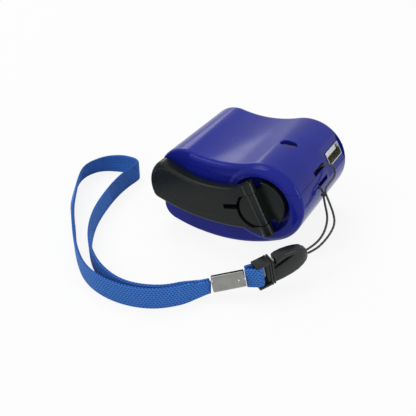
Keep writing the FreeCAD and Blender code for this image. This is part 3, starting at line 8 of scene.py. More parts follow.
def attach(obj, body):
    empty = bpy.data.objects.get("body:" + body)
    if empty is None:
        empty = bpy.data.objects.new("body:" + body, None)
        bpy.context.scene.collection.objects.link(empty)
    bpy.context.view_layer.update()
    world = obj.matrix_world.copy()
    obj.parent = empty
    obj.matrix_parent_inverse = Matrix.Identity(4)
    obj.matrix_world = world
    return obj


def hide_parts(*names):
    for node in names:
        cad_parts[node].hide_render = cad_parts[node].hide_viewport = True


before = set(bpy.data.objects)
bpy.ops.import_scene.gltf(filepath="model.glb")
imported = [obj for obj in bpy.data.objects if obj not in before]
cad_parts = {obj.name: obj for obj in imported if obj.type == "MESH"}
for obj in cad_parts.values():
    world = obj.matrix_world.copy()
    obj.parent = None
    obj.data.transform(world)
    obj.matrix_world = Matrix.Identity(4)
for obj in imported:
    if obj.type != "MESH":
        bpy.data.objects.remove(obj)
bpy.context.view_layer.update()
scene = bpy.context.scene
MM = 0.001


def mm(x, y, z):
    return Vector((x, y, z)) * MM


# Camera: azimuth 30 degrees, elevation 33.8 degrees, aimed a little left of the crank axis.

TURN, RISE = math.radians(30), math.radians(33.8)
CRANK_AXIS = mm(23, -25.3, 22.3)
toward_eye = Vector(
    (math.sin(TURN) * math.cos(RISE), -math.cos(TURN) * math.cos(RISE), math.sin(RISE))
)
eye_right = Vector((math.cos(TURN), math.sin(TURN), 0))
eye_up = toward_eye.cross(eye_right)
eye = CRANK_AXIS + (toward_eye * 246 - eye_right * 20 - eye_up * 0.8) * MM
lens = bpy.data.cameras.new("camera")
lens.sensor_width = 36
lens.lens = 55.385
lens.clip_start = 0.01
lens.clip_end = 20
camera = bpy.data.objects.new("camera", lens)
scene.collection.objects.link(camera)
camera.matrix_world = Matrix.Translation(eye) @ Matrix(
    (eye_right, eye_up, toward_eye)
).transposed().to_4x4()
scene.camera = camera


# Routes of the strap, of its fold round the buckle's bar, and of the string, in millimetres.
# They are control points of smooth splines.

STRAP_ROUTE = [
    (19.9, -58.2, 4.8),
    (13.4, -67.4, 4.8),
    (4.2, -75.4, 4.8),
    (-9.5, -78.6, 4.8),
    (-23.5, -76.0, 4.8),
    (-35.5, -67.0, 4.8),
    (-48.0, -53.7, 4.8),
    (-59.6, -40.2, 4.8),
    (-67.3, -29.0, 4.8),
    (-73.3, -17.0, 4.8),
    (-70.6, -6.6, 4.8),
    (-62.6, -1.3, 4.8),
    (-56.2, -0.3, 4.8),
    (-52.9, -0.9, 4.8),
    (-51.0, -2.6, 4.8),
    (-51.0, -5.6, 4.8),
    (-51.4, -10.8, 4.8),
    (-50.9, -19.8, 4.8),
    (-48.6, -31.0, 4.8),
    (-44.6, -44.0, 4.8),
    (-38.0, -55.8, 4.8),
    (-29.6, -65.4, 4.8),
    (-18.8, -72.6, 4.8),
    (-6.0, -75.9, 4.8),
    (6.4, -71.9, 4.8),
    (13.8, -64.2, 4.8),
    (18.8, -57.4, 4.8),
]
STRING_ROUTE = [
    (45.4, -30.5, 13.3),
    (47.2, -27.4, 14.2),
    (48.2, -22.6, 15.6),
    (47.5, -17.0, 16.6),
    (46.0, -12.4, 17.9),
    (43.2, -9.2, 21.0),
    (40.9, -7.3, 26.6),
    (36.2, -6.6, 25.7),
    (34.6, -0.4, 29.5),
    (38.6, 1.0, 32.2),
    (41.2, 4.2, 30.6),
    (42.6, 2.0, 27.6),
    (42.2, -3.0, 26.8),
    (42.2, -8.6, 26.4),
    (44.5, -8.1, 21.6),
    (47.4, -9.8, 18.0),
    (49.7, -13.8, 16.5),
    (50.2, -19.4, 15.5),
    (49.6, -25.0, 14.6),
    (48.2, -28.8, 13.3),
    (46.0, -31.1, 12.2),
]
FOLD_ROUTE = [
    (30.7, -50.4, 5.8),
    (34.1, -49.4, 5.8),
    (36.4, -48.2, 5.8),
    (34.7, -45.3, 5.8),
    (32.5, -46.7, 5.8),
    (30.0, -49.2, 5.8),
]


def smooth_line(points):
    """Points of the smooth spline that has these control points."""
    curve = bpy.data.curves.new("route", "CURVE")
    curve.dimensions = "3D"
    curve.resolution_u = 24
    run = curve.splines.new("NURBS")
    run.points.add(len(points) - 1)
    for point, place in zip(run.points, points):
        point.co = (*mm(*place), 1)
    run.order_u = 3
    run.use_endpoint_u = True
    holder = bpy.data.objects.new("route", curve)
    mesh = bpy.data.meshes.new_from_object(holder)
    line = [vertex.co.copy() for vertex in mesh.vertices]
    bpy.data.meshes.remove(mesh)
    bpy.data.objects.remove(holder)
    bpy.data.curves.remove(curve)
    return line


def paced(line, step):
    """The same line with evenly spaced points."""
    total = sum((b - a).length for a, b in zip(line, line[1:]))
    count = max(2, round(total / step))
    pace = total / count
    out, gone, target = [line[0].copy()], 0.0, pace
    for a, b in zip(line, line[1:]):
        run = (b - a).length
        while run > 0 and gone + run >= target - 1e-12 and len(out) < count:
            out.append(a.lerp(b, (target - gone) / run))
            target += pace
        gone += run
    out.append(line[-1].copy())
    return out


def directions(line):
    """Unit tangent at each point."""
    out = []
    for i in range(len(line)):
        ahead, behind = line[min(i + 1, len(line) - 1)], line[max(i - 1, 0)]
        out.append((ahead - behind).normalized())
    return out


def reach_along(line):
    """Distance along the line at each point."""
    out = [0.0]
    for a, b in zip(line, line[1:]):
        out.append(out[-1] + (b - a).length)
    return out


# Mesh helpers.


def piece(name, mesh, body, finish=None):
    thing = bpy.data.objects.new(name, mesh)
    scene.collection.objects.link(thing)
    if finish is not None:
        mesh.materials.append(finish)
    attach(thing, body)
    return thing


def smooth(mesh, angle=None):
    mesh.polygons.foreach_set("use_smooth", [True] * len(mesh.polygons))
    if angle is not None:
        mesh.set_sharp_from_angle(angle=math.radians(angle))
    mesh.update()
    return mesh


def mesh_of(name, verts, faces, uvs=None):
    """A mesh from points and faces, with texture coordinates for each point when they are given."""
    mesh = bpy.data.meshes.new(name)
    mesh.from_pydata([tuple(v) for v in verts], [], faces)
    if uvs is not None:
        layer = mesh.uv_layers.new(name="along")
        for loop in mesh.loops:
            layer.data[loop.index].uv = uvs[loop.vertex_index]
    mesh.validate()
    return mesh


def band_faces(rows, count, closed=False):
    """Four-sided faces between rows of count points each; closed joins the last row to the first."""
    faces = []
    for i in range(rows if closed else rows - 1):
        j = (i + 1) % rows
        for k in range(count):
            m = (k + 1) % count
            faces.append((i * count + k, i * count + m, j * count + m, j * count + k))
    return faces


def faced_outward(mesh):
    """The same mesh with all its faces turned outward."""
    work = bmesh.new()
    work.from_mesh(mesh)
    bmesh.ops.recalc_face_normals(work, faces=work.faces)
    work.to_mesh(mesh)
    work.free()
    return mesh


def round_section(wide, high, sides=12):
    """Points of an oval section as (side, high, share of the way round)."""
    turn = 2 * math.pi / sides
    return [(wide * math.cos(turn * k), high * math.sin(turn * k), k / sides) for k in range(sides)]


def swept(name, line, ring, turns):
    """A closed tube round a line.

    ring(i, s) gives the section at point i, s along the line, as (side, high, texture place).
    turns gives each point's high direction.
    """
    tangents = directions(line)
    along = reach_along(line)
    verts, uvs = [], []
    for i, (spot, tangent) in enumerate(zip(line, tangents)):
        high = (turns[i] - tangent * turns[i].dot(tangent)).normalized()
        side = tangent.cross(high)
        for a, b, v in ring(i, along[i]):
            verts.append(spot + side * a + high * b)
            uvs.append((along[i] / MM, v))
    count = len(ring(0, 0.0))
    faces = band_faces(len(line), count)
    last = (len(line) - 1) * count
    faces.append(tuple(range(count)))
    faces.append(tuple(reversed(range(last, last + count))))
    return smooth(faced_outward(mesh_of(name, verts, faces, uvs)))


def carried(line):
    """High directions that turn as little as they can along a line."""
    tangents = directions(line)
    high = tangents[0].orthogonal().normalized()
    out = []
    for tangent in tangents:
        high = (high - tangent * high.dot(tangent)).normalized()
        out.append(high.copy())
    return out


# Materials.


class Finish:
    """A material and short ways to add nodes to it."""

    def __init__(self, name, colour, rough, **sockets):
        self.material = bpy.data.materials.new(name)
        self.material.use_nodes = True
        self.tree = self.material.node_tree
        self.shader = self.tree.nodes["Principled BSDF"]
        self.shader.inputs["Base Color"].default_value = (*colour, 1)
        self.shader.inputs["Roughness"].default_value = rough
        for key, value in sockets.items():
            self.shader.inputs[key.replace("_", " ")].default_value = value
        self.place = self.node("ShaderNodeTexCoord")

    def node(self, kind, inputs=None, **settings):
        made = self.tree.nodes.new(kind)
        for key, value in settings.items():
            setattr(made, key, value)
        for key, value in (inputs or {}).items():
            if hasattr(value, "is_output"):
                self.tree.links.new(value, made.inputs[key])
            else:
                made.inputs[key].default_value = value
        return made

    def stretch(self, x, y, z):
        made = self.node("ShaderNodeMapping", {"Vector": self.place.outputs["Object"]})
        made.inputs["Scale"].default_value = (x, y, z)
        return made.outputs["Vector"]

    def noise(self, scale, detail=3.0, vector=None):
        made = self.node(
            "ShaderNodeTexNoise",
            {
                "Vector": vector or self.place.outputs["Object"],
                "Scale": scale,
                "Detail": detail,
            },
        )
        return made.outputs["Fac"]

    def ramp(self, value, stops):
        made = self.node("ShaderNodeValToRGB", {"Fac": value})
        band = made.color_ramp
        while len(band.elements) < len(stops):
            band.elements.new(0.5)
        for element, (at, colour) in zip(band.elements, stops):
            element.position = at
            element.color = (*colour, 1)
        return made.outputs["Color"]

    def spread(self, value, low, high, start=0.0, end=1.0):
        made = self.node(
            "ShaderNodeMapRange",
            {"Value": value, "From Min": start, "From Max": end, "To Min": low, "To Max": high},
        )
        return made.outputs["Result"]

    def sum(self, a, b, kind="ADD"):
        return self.node("ShaderNodeMath", {0: a, 1: b}, operation=kind).outputs[0]

    def mix(self, factor, a, b):
        made = self.node("ShaderNodeMix", data_type="RGBA")
        for index, value in ((0, factor), (6, a), (7, b)):
            if hasattr(value, "is_output"):
                self.tree.links.new(value, made.inputs[index])
            elif index == 0:
                made.inputs[index].default_value = value
            else:
                made.inputs[index].default_value = (*value, 1)
        return made.outputs[2]

    def colour(self, value):
        self.tree.links.new(value, self.shader.inputs["Base Color"])

    def rough(self, value):
        self.tree.links.new(value, self.shader.inputs["Roughness"])

    def bump(self, height, distance, strength=1.0):
        made = self.node(
            "ShaderNodeBump", {"Height": height, "Distance": distance, "Strength": strength}
        )
        before = self.shader.inputs["Normal"]
        if before.is_linked:
            self.tree.links.new(before.links[0].from_socket, made.inputs["Normal"])
        self.tree.links.new(made.outputs["Normal"], before)


def shade(colour, amount):
    return tuple(min(1.0, c * amount) for c in colour)


def plastic(name, colour, low, high, grain, depth, **sockets):
    """Moulded plastic: faint drift in the colour, uneven gloss, fine grain and a few hairline scuffs."""
    made = Finish(name, colour, (low + high) / 2, **sockets)
    drift = made.noise(60, 2)
    made.colour(made.mix(made.spread(drift, 0, 1, 0.35, 0.65), shade(colour, 0.93), shade(colour, 1.07)))
    scuffs = made.noise(900, 2, made.stretch(1, 0.12, 0.5))
    wear = made.spread(scuffs, 0, 0.12, 0.66, 0.78)
    patch = made.spread(made.noise(140, 4), low, high, 0.3, 0.7)
    made.rough(made.sum(patch, wear))
    made.bump(made.noise(grain, 3), depth)
    return made.material


def metal(name, colour, low, high, stretch=(1, 1, 1)):
    """Bright or brushed metal: streaks along one axis and slight tarnish."""
    made = Finish(name, colour, (low + high) / 2, Metallic=1.0)
    tarnish = made.noise(180, 4)
    made.colour(made.mix(made.spread(tarnish, 0, 1, 0.4, 0.7), colour, shade(colour, 0.82)))
    streaks = made.noise(900, 3, made.stretch(*stretch))
    made.rough(made.spread(streaks, low, high, 0.3, 0.7))
    made.bump(streaks, 2e-6)
    return made.material


BLUE = (0.010, 0.016, 0.255)
BLACK = (0.009, 0.012, 0.011)
case_blue = plastic("case_blue", BLUE, 0.13, 0.20, 1600, 1.5e-6, Specular_IOR_Level=0.15)
arm_black = plastic("crank_black", BLACK, 0.22, 0.30, 2600, 5e-6, Specular_IOR_Level=0.2)
buckle_black = plastic("buckle_black", BLACK, 0.24, 0.36, 2200, 4e-6, Specular_IOR_Level=0.3)
finishes = {
    "case_blue": case_blue,
    "lens_blue": plastic("lens_blue", (0.004, 0.005, 0.075), 0.07, 0.14, 900, 1e-6, Specular_IOR_Level=0.25),
    "tongue_white": plastic("tongue_white", (0.78, 0.79, 0.78), 0.35, 0.5, 1800, 3e-6),
    "gear_white": plastic("gear_white", (0.78, 0.77, 0.72), 0.32, 0.45, 1500, 3e-6),
    "motor_cap_white": plastic("motor_cap_white", (0.72, 0.72, 0.70), 0.4, 0.55, 1500, 4e-6),
    "plate_black": plastic("plate_black", (0.02, 0.02, 0.021), 0.45, 0.6, 1600, 6e-6),
    "chip_black": plastic("chip_black", (0.018, 0.018, 0.019), 0.5, 0.65, 3500, 6e-6),
    "crank_black": arm_black,
    "buckle_black": buckle_black,
    "socket_steel": metal("socket_steel", (0.66, 0.66, 0.65), 0.18, 0.34, (1, 8, 1)),
    "screw_steel": metal("screw_steel", (0.58, 0.58, 0.57), 0.25, 0.42, (6, 6, 1)),
    "motor_steel": metal("motor_steel", (0.62, 0.62, 0.61), 0.28, 0.45, (1, 7, 1)),
    "contact_gold": metal("contact_gold", (0.83, 0.60, 0.24), 0.16, 0.28),
    "gear_brass": metal("gear_brass", (0.78, 0.57, 0.25), 0.2, 0.35, (1, 9, 1)),
    "bushing_brass": metal("bushing_brass", (0.66, 0.45, 0.20), 0.35, 0.5, (1, 9, 1)),
    "magnet_dark": plastic("magnet_dark", (0.05, 0.05, 0.052), 0.55, 0.7, 1200, 1.2e-5),
}


def board_finish():
    """Green solder mask over raised copper tracks."""
    made = Finish("board_green", (0.02, 0.16, 0.06), 0.35)
    tracks = made.node(
        "ShaderNodeTexBrick",
        {
            "Vector": made.stretch(1, 1, 0),
            "Color1": (1, 1, 1, 1),
            "Color2": (0.7, 0.7, 0.7, 1),
            "Mortar": (0, 0, 0, 1),
            "Scale": 260,
            "Mortar Size": 0.03,
        },
    ).outputs["Color"]
    made.colour(made.mix(tracks, (0.012, 0.11, 0.045), (0.03, 0.21, 0.09)))
    made.bump(tracks, 2e-5)
    made.rough(made.spread(made.noise(400, 3), 0.25, 0.4, 0.3, 0.7))
    return made.material


def sleeve_finish():
    """Shrink sleeve of a capacitor with its pale stripe down one side."""
    made = Finish("capacitor_dark", (0.02, 0.025, 0.07), 0.3)
    parts = made.node("ShaderNodeSeparateXYZ", {"Vector": made.place.outputs["Generated"]})
    stripe = made.spread(parts.outputs["Y"], 0, 1, 0.86, 0.88)
    made.colour(made.mix(stripe, (0.02, 0.025, 0.07), (0.45, 0.46, 0.48)))
    made.bump(made.noise(500, 4), 1e-5)
    made.rough(made.spread(made.noise(250, 3), 0.22, 0.36, 0.3, 0.7))
    return made.material


def lamp_finish():
    """Clear epoxy with a slight haze."""
    made = Finish("lamp_clear", (0.9, 0.94, 0.96), 0.06, Transmission_Weight=0.85, IOR=1.5)
    made.rough(made.spread(made.noise(300, 3), 0.03, 0.14, 0.3, 0.7))
    made.bump(made.noise(700, 2), 1e-6)
    return made.material


finishes["board_green"] = board_finish()
finishes["capacitor_dark"] = sleeve_finish()
finishes["lamp_clear"] = lamp_finish()


RIB = 0.94  # width of a lengthwise rib of the tape, in millimetres
STITCH = 1.25  # length of a stitch
STITCH_SLANT = 1.1  # how far a stitch leans over one rib


def strap_finish():
    """Woven tape: slanted stitches in lengthwise ribs, with loose fibres; painted shade darkens the valleys
    and a painted highlight lightens the raised stitches.
    """
    made = Finish(
        "strap_blue",
        (0.04, 0.17, 0.55),
        0.78,
        Sheen_Weight=0.08,
        Sheen_Roughness=0.4,
        Specular_IOR_Level=0.2,
    )
    parts = made.node("ShaderNodeSeparateXYZ", {"Vector": made.place.outputs["UV"]})
    along, across = parts.outputs["X"], parts.outputs["Y"]
    column = made.sum(across, RIB, "DIVIDE")
    half = made.sum(made.sum(column, 2, "FLOORED_MODULO"), 1, "SUBTRACT")
    slant = made.sum(made.sum(half, 0, "ABSOLUTE"), STITCH_SLANT, "MULTIPLY")
    phase = made.sum(made.sum(along, slant, "ADD"), STITCH, "DIVIDE")
    wave = made.sum(made.sum(made.sum(phase, 2 * math.pi, "MULTIPLY"), 0, "SINE"), 0.5, "MULTIPLY")
    stitch = made.sum(wave, 0.5)
    rib = made.sum(made.sum(made.sum(column, 2 * math.pi, "MULTIPLY"), 0, "COSINE"), 0.5, "MULTIPLY")
    valley = made.sum(0.5, rib, "SUBTRACT")
    height = made.sum(made.sum(stitch, 0.6, "MULTIPLY"), made.sum(valley, 0.4, "MULTIPLY"))
    fibres = made.noise(7000, 2, made.stretch(1, 1, 1))
    # Colour over the relief height: painted shade in the valleys, painted highlight on the raised stitches;
    # the fibre noise adds the threads' own tone.
    body = made.ramp(
        made.sum(height, made.sum(fibres, 0.3, "MULTIPLY")),
        [(0.25, (0.006, 0.035, 0.17)), (0.6, (0.026, 0.14, 0.50)), (1.0, (0.075, 0.26, 0.74))],
    )
    drift = made.noise(45, 2)
    made.colour(made.mix(made.spread(drift, 0, 0.25, 0.35, 0.65), body, (0.03, 0.12, 0.45)))
    made.bump(height, 1.2e-4, 0.8)
    made.bump(fibres, 3e-5, 0.6)
    return made.material


strap_blue = strap_finish()
finishes["strap_blue"] = strap_blue


def string_finish():
    """Braided black nylon."""
    made = Finish("string_black", (0.010, 0.010, 0.011), 0.5, Sheen_Weight=0.15)
    fibres = made.noise(6000, 2, made.stretch(1, 1, 1))
    made.colour(made.ramp(fibres, [(0.3, (0.006, 0.006, 0.007)), (0.75, (0.03, 0.03, 0.032))]))
    made.bump(fibres, 1e-5)
    made.rough(made.spread(fibres, 0.4, 0.6, 0.3, 0.7))
    return made.material


def crimp_finish():
    """Polished ferrule: fine lengthwise draw lines, faint smudges."""
    made = Finish("crimp_chrome", (0.24, 0.24, 0.23), 0.14, Metallic=1.0)
    parts = made.node("ShaderNodeSeparateXYZ", {"Vector": made.place.outputs["UV"]})
    lines = made.node(
        "ShaderNodeCombineXYZ",
        {
            "X": made.sum(parts.outputs["X"], 0.02, "MULTIPLY"),
            "Y": made.sum(parts.outputs["Y"], 1.0, "MULTIPLY"),
        },
    )
    drawn = made.noise(2.2, 4, lines.outputs["Vector"])
    smudge = made.noise(350, 4)
    made.rough(made.sum(made.spread(drawn, 0.06, 0.16, 0.3, 0.7), made.spread(smudge, 0, 0.1, 0.45, 0.7)))
    made.colour(made.mix(made.spread(smudge, 0, 0.6, 0.4, 0.75), (0.27, 0.27, 0.26), (0.17, 0.17, 0.16)))
    made.bump(drawn, 1.2e-5)
    return made.material


string_black = string_finish()
finishes["string_black"] = string_black
crimp_chrome = crimp_finish()
finishes["crimp_chrome"] = crimp_chrome

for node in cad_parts.values():
    for slot in node.material_slots:
        slot.material = finishes[slot.material.name.split(".")[0]]


# String: a braided cord from the buckle, through the slots round the bar, and back to the buckle.

STRING_RADIUS = 0.45 * MM
BRAID_PITCH = 1.9 * MM
string_line = paced(smooth_line(STRING_ROUTE), 0.13 * MM)


def string_ring(i, s):
    out = []
    for k in range(14):
        angle = 2 * math.pi * k / 14
        left = math.cos(2 * angle + 2 * math.pi * s / BRAID_PITCH)
        right = math.cos(2 * angle - 2 * math.pi * s / BRAID_PITCH)
        radius = STRING_RADIUS * (0.93 + 0.07 * max(left, right))
        out.append((radius * math.cos(angle), radius * math.sin(angle), k / 14))
    return out


string = piece(
    "string_braid",
    swept("string_braid", string_line, string_ring, carried(string_line)),
    "case",
    string_black,
)
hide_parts("string_loop")

KNOT = mm(42.1, -8.3, 24.4)
KNOT_STRAND = 0.43 * MM
KNOT_STEPS = 96
knot_line = []
for k in range(KNOT_STEPS + 1):
    t = 2 * math.pi * k / KNOT_STEPS
    knot_line.append(
        KNOT
        + Matrix.Rotation(math.radians(35), 3, "Y")
        @ (
            Vector(
                (
                    (math.sin(t) + 2 * math.sin(2 * t)) * 0.27,
                    -math.sin(3 * t) * 0.42,
                    (math.cos(t) - 2 * math.cos(2 * t)) * 0.30,
                )
            )
            * MM
        )
    )


knot = piece(
    "string_knot",
    swept(
        "string_knot",
        knot_line,
        lambda i, s: round_section(KNOT_STRAND, KNOT_STRAND),
        carried(knot_line),
    ),
    "case",
    string_black,
)


# Strap: a woven tape on edge, gathered where it enters the ferrule.

HALF_WIDE, HALF_THICK = 4.7 * MM, 0.55 * MM
UP = Vector((0, 0, 1))


def tape_ring(wide, thick, s):
    """Section of the tape: flat sides with ribs and stitches, rounded edges."""
    out = []
    count = 34
    for side in (1, -1):
        for k in range(count + 1):
            v = -1 + 2 * k / count
            b = v * side * wide
            place = b / MM
            column = place / RIB
            rib = 0.5 - 0.5 * math.cos(2 * math.pi * column)
            half = abs(column % 2 - 1)
            stitch = 0.5 + 0.5 * math.sin(2 * math.pi * (s / MM + STITCH_SLANT * half) / STITCH)
            edge = max(0.0, abs(v) - 0.86) / 0.14
            body = thick * (1 - 0.45 * edge * edge)
            relief = (0.07 * rib + 0.07 * stitch) * MM * (1 - edge)
            out.append((side * (body - 0.1 * MM + relief), b, place))
    return out


def lean_at(s, total):
    """Lean of the tape's top towards the inside of the loop, in radians."""
    t = s / total
    rise = max(0.0, min(1.0, (t - 0.30) / 0.08))
    fall = max(0.0, min(1.0, (0.53 - t) / 0.06))
    rise, fall = rise * rise * (3 - 2 * rise), fall * fall * (3 - 2 * fall)
    return math.radians(20) * min(rise, fall)


strap_line = paced(smooth_line(STRAP_ROUTE), 0.31 * MM)
strap_reach = reach_along(strap_line)
strap_long = strap_reach[-1]
strap_turns = []
for spot, tangent, s in zip(strap_line, directions(strap_line), strap_reach):
    lean = lean_at(s, strap_long)
    inward = Vector((tangent.y, -tangent.x, 0)).normalized()
    strap_turns.append(UP * math.cos(lean) + inward * math.sin(lean))


def strap_ring(i, s):
    near = min(s, strap_long - s) / (12 * MM)
    open_ = min(1.0, near)
    open_ = open_ * open_ * (3 - 2 * open_)
    return tape_ring(HALF_WIDE * (0.62 + 0.38 * open_), HALF_THICK * (1.25 - 0.25 * open_), s)


strap = piece(
    "strap_tape",
    swept("strap_tape", strap_line, strap_ring, strap_turns),
    "strap_clip",
    strap_blue,
)
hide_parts("wrist_strap")


# The buckle's own frame: it is turned about the vertical and its string end is raised.

HEADING, TILT = math.radians(56), math.radians(11)
FERRULE_START = mm(20.0, -57.1, 5.3)
ALONG = Vector((math.cos(HEADING), math.sin(HEADING), 0))
ACROSS = Vector((math.sin(HEADING), -math.cos(HEADING), 0))
RAISE = Matrix.Rotation(TILT, 3, ACROSS)


def raised(point):
    """A point in millimetres of the level layout, where it is once the tail is raised."""
    return FERRULE_START + RAISE @ (mm(*point) - FERRULE_START)


def at_buckle(side, along, high):
    return FERRULE_START + RAISE @ (
        mm(36.9, -43.5, 0) + (ACROSS * side + ALONG * along + UP * high) * MM - FERRULE_START
    )


fold_level = paced(smooth_line(FOLD_ROUTE), 0.25 * MM)
fold_line = [FERRULE_START + RAISE @ (p - FERRULE_START) for p in fold_level]
FOLD_UP = RAISE @ UP
fold = piece(
    "strap_fold_tape",
    swept(
        "strap_fold_tape",
        fold_line,
        lambda i, s: tape_ring(HALF_WIDE - 0.05 * MM, HALF_THICK, s),
        [FOLD_UP] * len(fold_line),
    ),
    "strap_clip",
    strap_blue,
)
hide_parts("strap_fold")


# Ferrule: a rolled tube with turned-in lips and a small notch.

FERRULE_END = raised((30.0, -50.0, 5.3))


def lathe(name, start, end, profile, sides, dent):
    """A closed turned shape between two points. profile is (along, radius) in millimetres."""
    axis = (end - start).normalized()
    high = (UP - axis * UP.dot(axis)).normalized()
    side = axis.cross(high)
    verts, uvs = [], []
    for along, radius in profile:
        for k in range(sides):
            angle = 2 * math.pi * k / sides
            r = radius - dent(along, angle)
            verts.append(
                start + axis * along * MM + (side * math.cos(angle) + high * math.sin(angle)) * r * MM
            )
            uvs.append((along, angle * radius))
    faces = band_faces(len(profile), sides, closed=True)
    return smooth(faced_outward(mesh_of(name, verts, faces, uvs)), 50)


ferrule_long = (FERRULE_END - FERRULE_START).length / MM


def ferrule_dent(along, angle):
    """The pinch of the rolled seam and the staked notch near the buckle end."""
    notch = math.exp(-(((along - ferrule_long + 2.0) / 0.5) ** 2)) * math.exp(-((angle - 0.55) / 0.22) ** 2)
    seam = 0.12 * math.exp(-((angle - 1.95) / 0.05) ** 2)
    return 0.5 * notch + seam


OUTSIDE, BORE = 3.2, 2.5
LIP = [(0.35, 2.55), (0.1, 2.7), (0.0, 2.95), (0.12, 3.14), (0.4, OUTSIDE)]
BARREL_STEPS = 30
ferrule_profile = list(LIP)
for k in range(1, BARREL_STEPS):
    ferrule_profile.append((0.4 + (ferrule_long - 0.8) * k / BARREL_STEPS, OUTSIDE))
ferrule_profile += [(ferrule_long - along, radius) for along, radius in reversed(LIP)]
ferrule_profile += [(ferrule_long - 1.5, BORE), (ferrule_long / 2, BORE), (1.5, BORE)]
ferrule = piece(
    "ferrule_tube",
    lathe("ferrule_tube", FERRULE_START, FERRULE_END, ferrule_profile, 96, ferrule_dent),
    "strap_clip",
    crimp_chrome,
)
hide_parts("crimp_ferrule")


# Buckle: two moulded halves with rounded edges, a spring arm over a slot, and a collar on each half.


CORNER_POINTS = 5


def moulded(stations, corner):
    """Points and faces of a closed form through rounded rectangles across the buckle's length.

    A station is (along, half thickness, low, high) in millimetres of the buckle's frame, and corner
    is the rounding of the edges.
    """
    first, last = stations[0], stations[-1]
    rows = []
    for share, step in ((0.7, 0.0), (0.25, 0.25), (0.0, 0.8)):
        rows.append((first[0] + step * corner, share * corner, first))
    rows += [(station[0], 0.0, station) for station in stations[1:-1]]
    for share, step in ((0.0, 0.8), (0.25, 0.25), (0.7, 0.0)):
        rows.append((last[0] - step * corner, share * corner, last))
    verts = []
    for along, inset, (_, half, low, high) in rows:
        half, low, high = half - inset, low + inset, high - inset
        r = min(corner, half * 0.9, (high - low) * 0.45)
        for out, up, start in ((1, 1, 0), (-1, 1, 90), (-1, -1, 180), (1, -1, 270)):
            for k in range(CORNER_POINTS):
                angle = math.radians(start + 90 / (CORNER_POINTS - 1) * k)
                edge = (high - r) if up > 0 else (low + r)
                side = out * (half - r) + r * math.cos(angle)
                verts.append(at_buckle(side, along, edge + r * math.sin(angle)))
    count = 4 * CORNER_POINTS
    faces = band_faces(len(rows), count)
    faces.append(tuple(range(count)))
    faces.append(tuple(range((len(rows) - 1) * count, len(rows) * count)))
    return verts, faces


def moulded_piece(name, body, forms):
    """One piece out of several moulded forms."""
    verts, faces = [], []
    for stations, corner in forms:
        spots, sides = moulded(stations, corner)
        faces += [tuple(i + len(verts) for i in side) for side in sides]
        verts += spots
    mesh = smooth(faced_outward(mesh_of(name, verts, faces)), 40)
    return piece(name, mesh, body, buckle_black)


housing = moulded_piece(
    "buckle_shell",
    "case",
    [
        ([(0.12, 2.35, 0.0, 11.4), (0.5, 2.35, 0.0, 11.4), (0.9, 2.35, 0.0, 11.4)], 0.18),
        (
            [
                (0.8, 2.1, 0.25, 6.6),
                (4.0, 2.15, 0.2, 7.3),
                (8.0, 2.1, 0.4, 8.5),
                (10.9, 2.0, 0.9, 9.4),
                (13.2, 1.85, 1.9, 9.2),
                (14.9, 1.6, 3.1, 8.5),
                (15.7, 1.4, 3.8, 7.8),
            ],
            0.55,
        ),
        (
            [
                (2.0, 2.1, 8.6, 11.2),
                (3.6, 2.15, 9.0, 11.5),
                (6.0, 2.1, 9.3, 11.6),
                (9.0, 2.05, 9.1, 11.2),
                (11.5, 1.95, 8.3, 10.6),
                (13.6, 1.8, 6.6, 9.8),
                (15.3, 1.5, 5.2, 8.6),
            ],
            0.6,
        ),
        ([(0.5, 1.3, 0.6, 6.2), (1.6, 1.3, 0.6, 6.2), (2.6, 1.3, 0.6, 6.2)], 0.2),
    ],
)
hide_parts("buckle_housing")
clip = moulded_piece(
    "buckle_frame",
    "strap_clip",
    [
        ([(-0.85, 2.4, -0.05, 11.45), (-0.5, 2.4, -0.05, 11.45), (-0.12, 2.4, -0.05, 11.45)], 0.18),
        ([(-6.0, 2.35, 10.35, 11.4), (-3.0, 2.35, 10.35, 11.4), (-0.6, 2.35, 10.35, 11.4)], 0.22),
        ([(-6.0, 2.35, 0.0, 1.0), (-3.0, 2.35, 0.0, 1.0), (-0.6, 2.35, 0.0, 1.0)], 0.22),
        ([(-2.0, 1.5, 0.5, 10.9), (-1.3, 1.7, 0.5, 10.9), (-0.5, 1.9, 0.5, 10.9)], 0.2),
        ([(-5.7, 0.85, 0.5, 10.9), (-4.9, 0.85, 0.5, 10.9), (-4.1, 0.85, 0.5, 10.9)], 0.6),
        (
            [
                (-0.3, 1.05, 4.4, 7.4),
                (4.0, 1.05, 5.6, 8.3),
                (8.0, 1.0, 7.2, 8.8),
                (10.4, 0.9, 7.8, 8.7),
            ],
            0.4,
        ),
    ],
)
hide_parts("buckle_clip")


# Joint of the two shells: a thin strip where their edges meet, coloured near-black as painted shade for the
# gap between them.


def outer_edge(mesh, level):
    """The outermost loop of a mesh's edges at a height, each point with its outward direction."""
    work = bmesh.new()
    work.from_mesh(mesh)
    bmesh.ops.remove_doubles(work, verts=work.verts, dist=1e-6)
    work.normal_update()
    onward = {}
    for edge in work.edges:
        if any(abs(vert.co.z - level) > 1e-6 for vert in edge.verts) or len(edge.link_faces) != 2:
            continue
        flat = [abs(face.normal.z) > 0.99 for face in edge.link_faces]
        if flat[0] == flat[1]:
            continue
        wall = edge.link_faces[flat.index(False)]
        for vert in edge.verts:
            onward.setdefault(vert, []).append((edge.other_vert(vert), wall.normal.copy()))
    loops, left = [], set(onward)
    while left:
        start = min(left, key=lambda vert: (vert.co.x, vert.co.y))
        loop, vert = [], start
        while vert in left:
            left.discard(vert)
            lean = sum((normal for _, normal in onward[vert]), Vector())
            loop.append((vert.co.copy(), Vector((lean.x, lean.y, 0)).normalized()))
            after = [other for other, _ in onward[vert] if other in left]
            if not after:
                break
            vert = after[0]
        loops.append(loop)
    work.free()
    return max(loops, key=lambda loop: sum((b[0] - a[0]).length for a, b in zip(loop, loop[1:])))


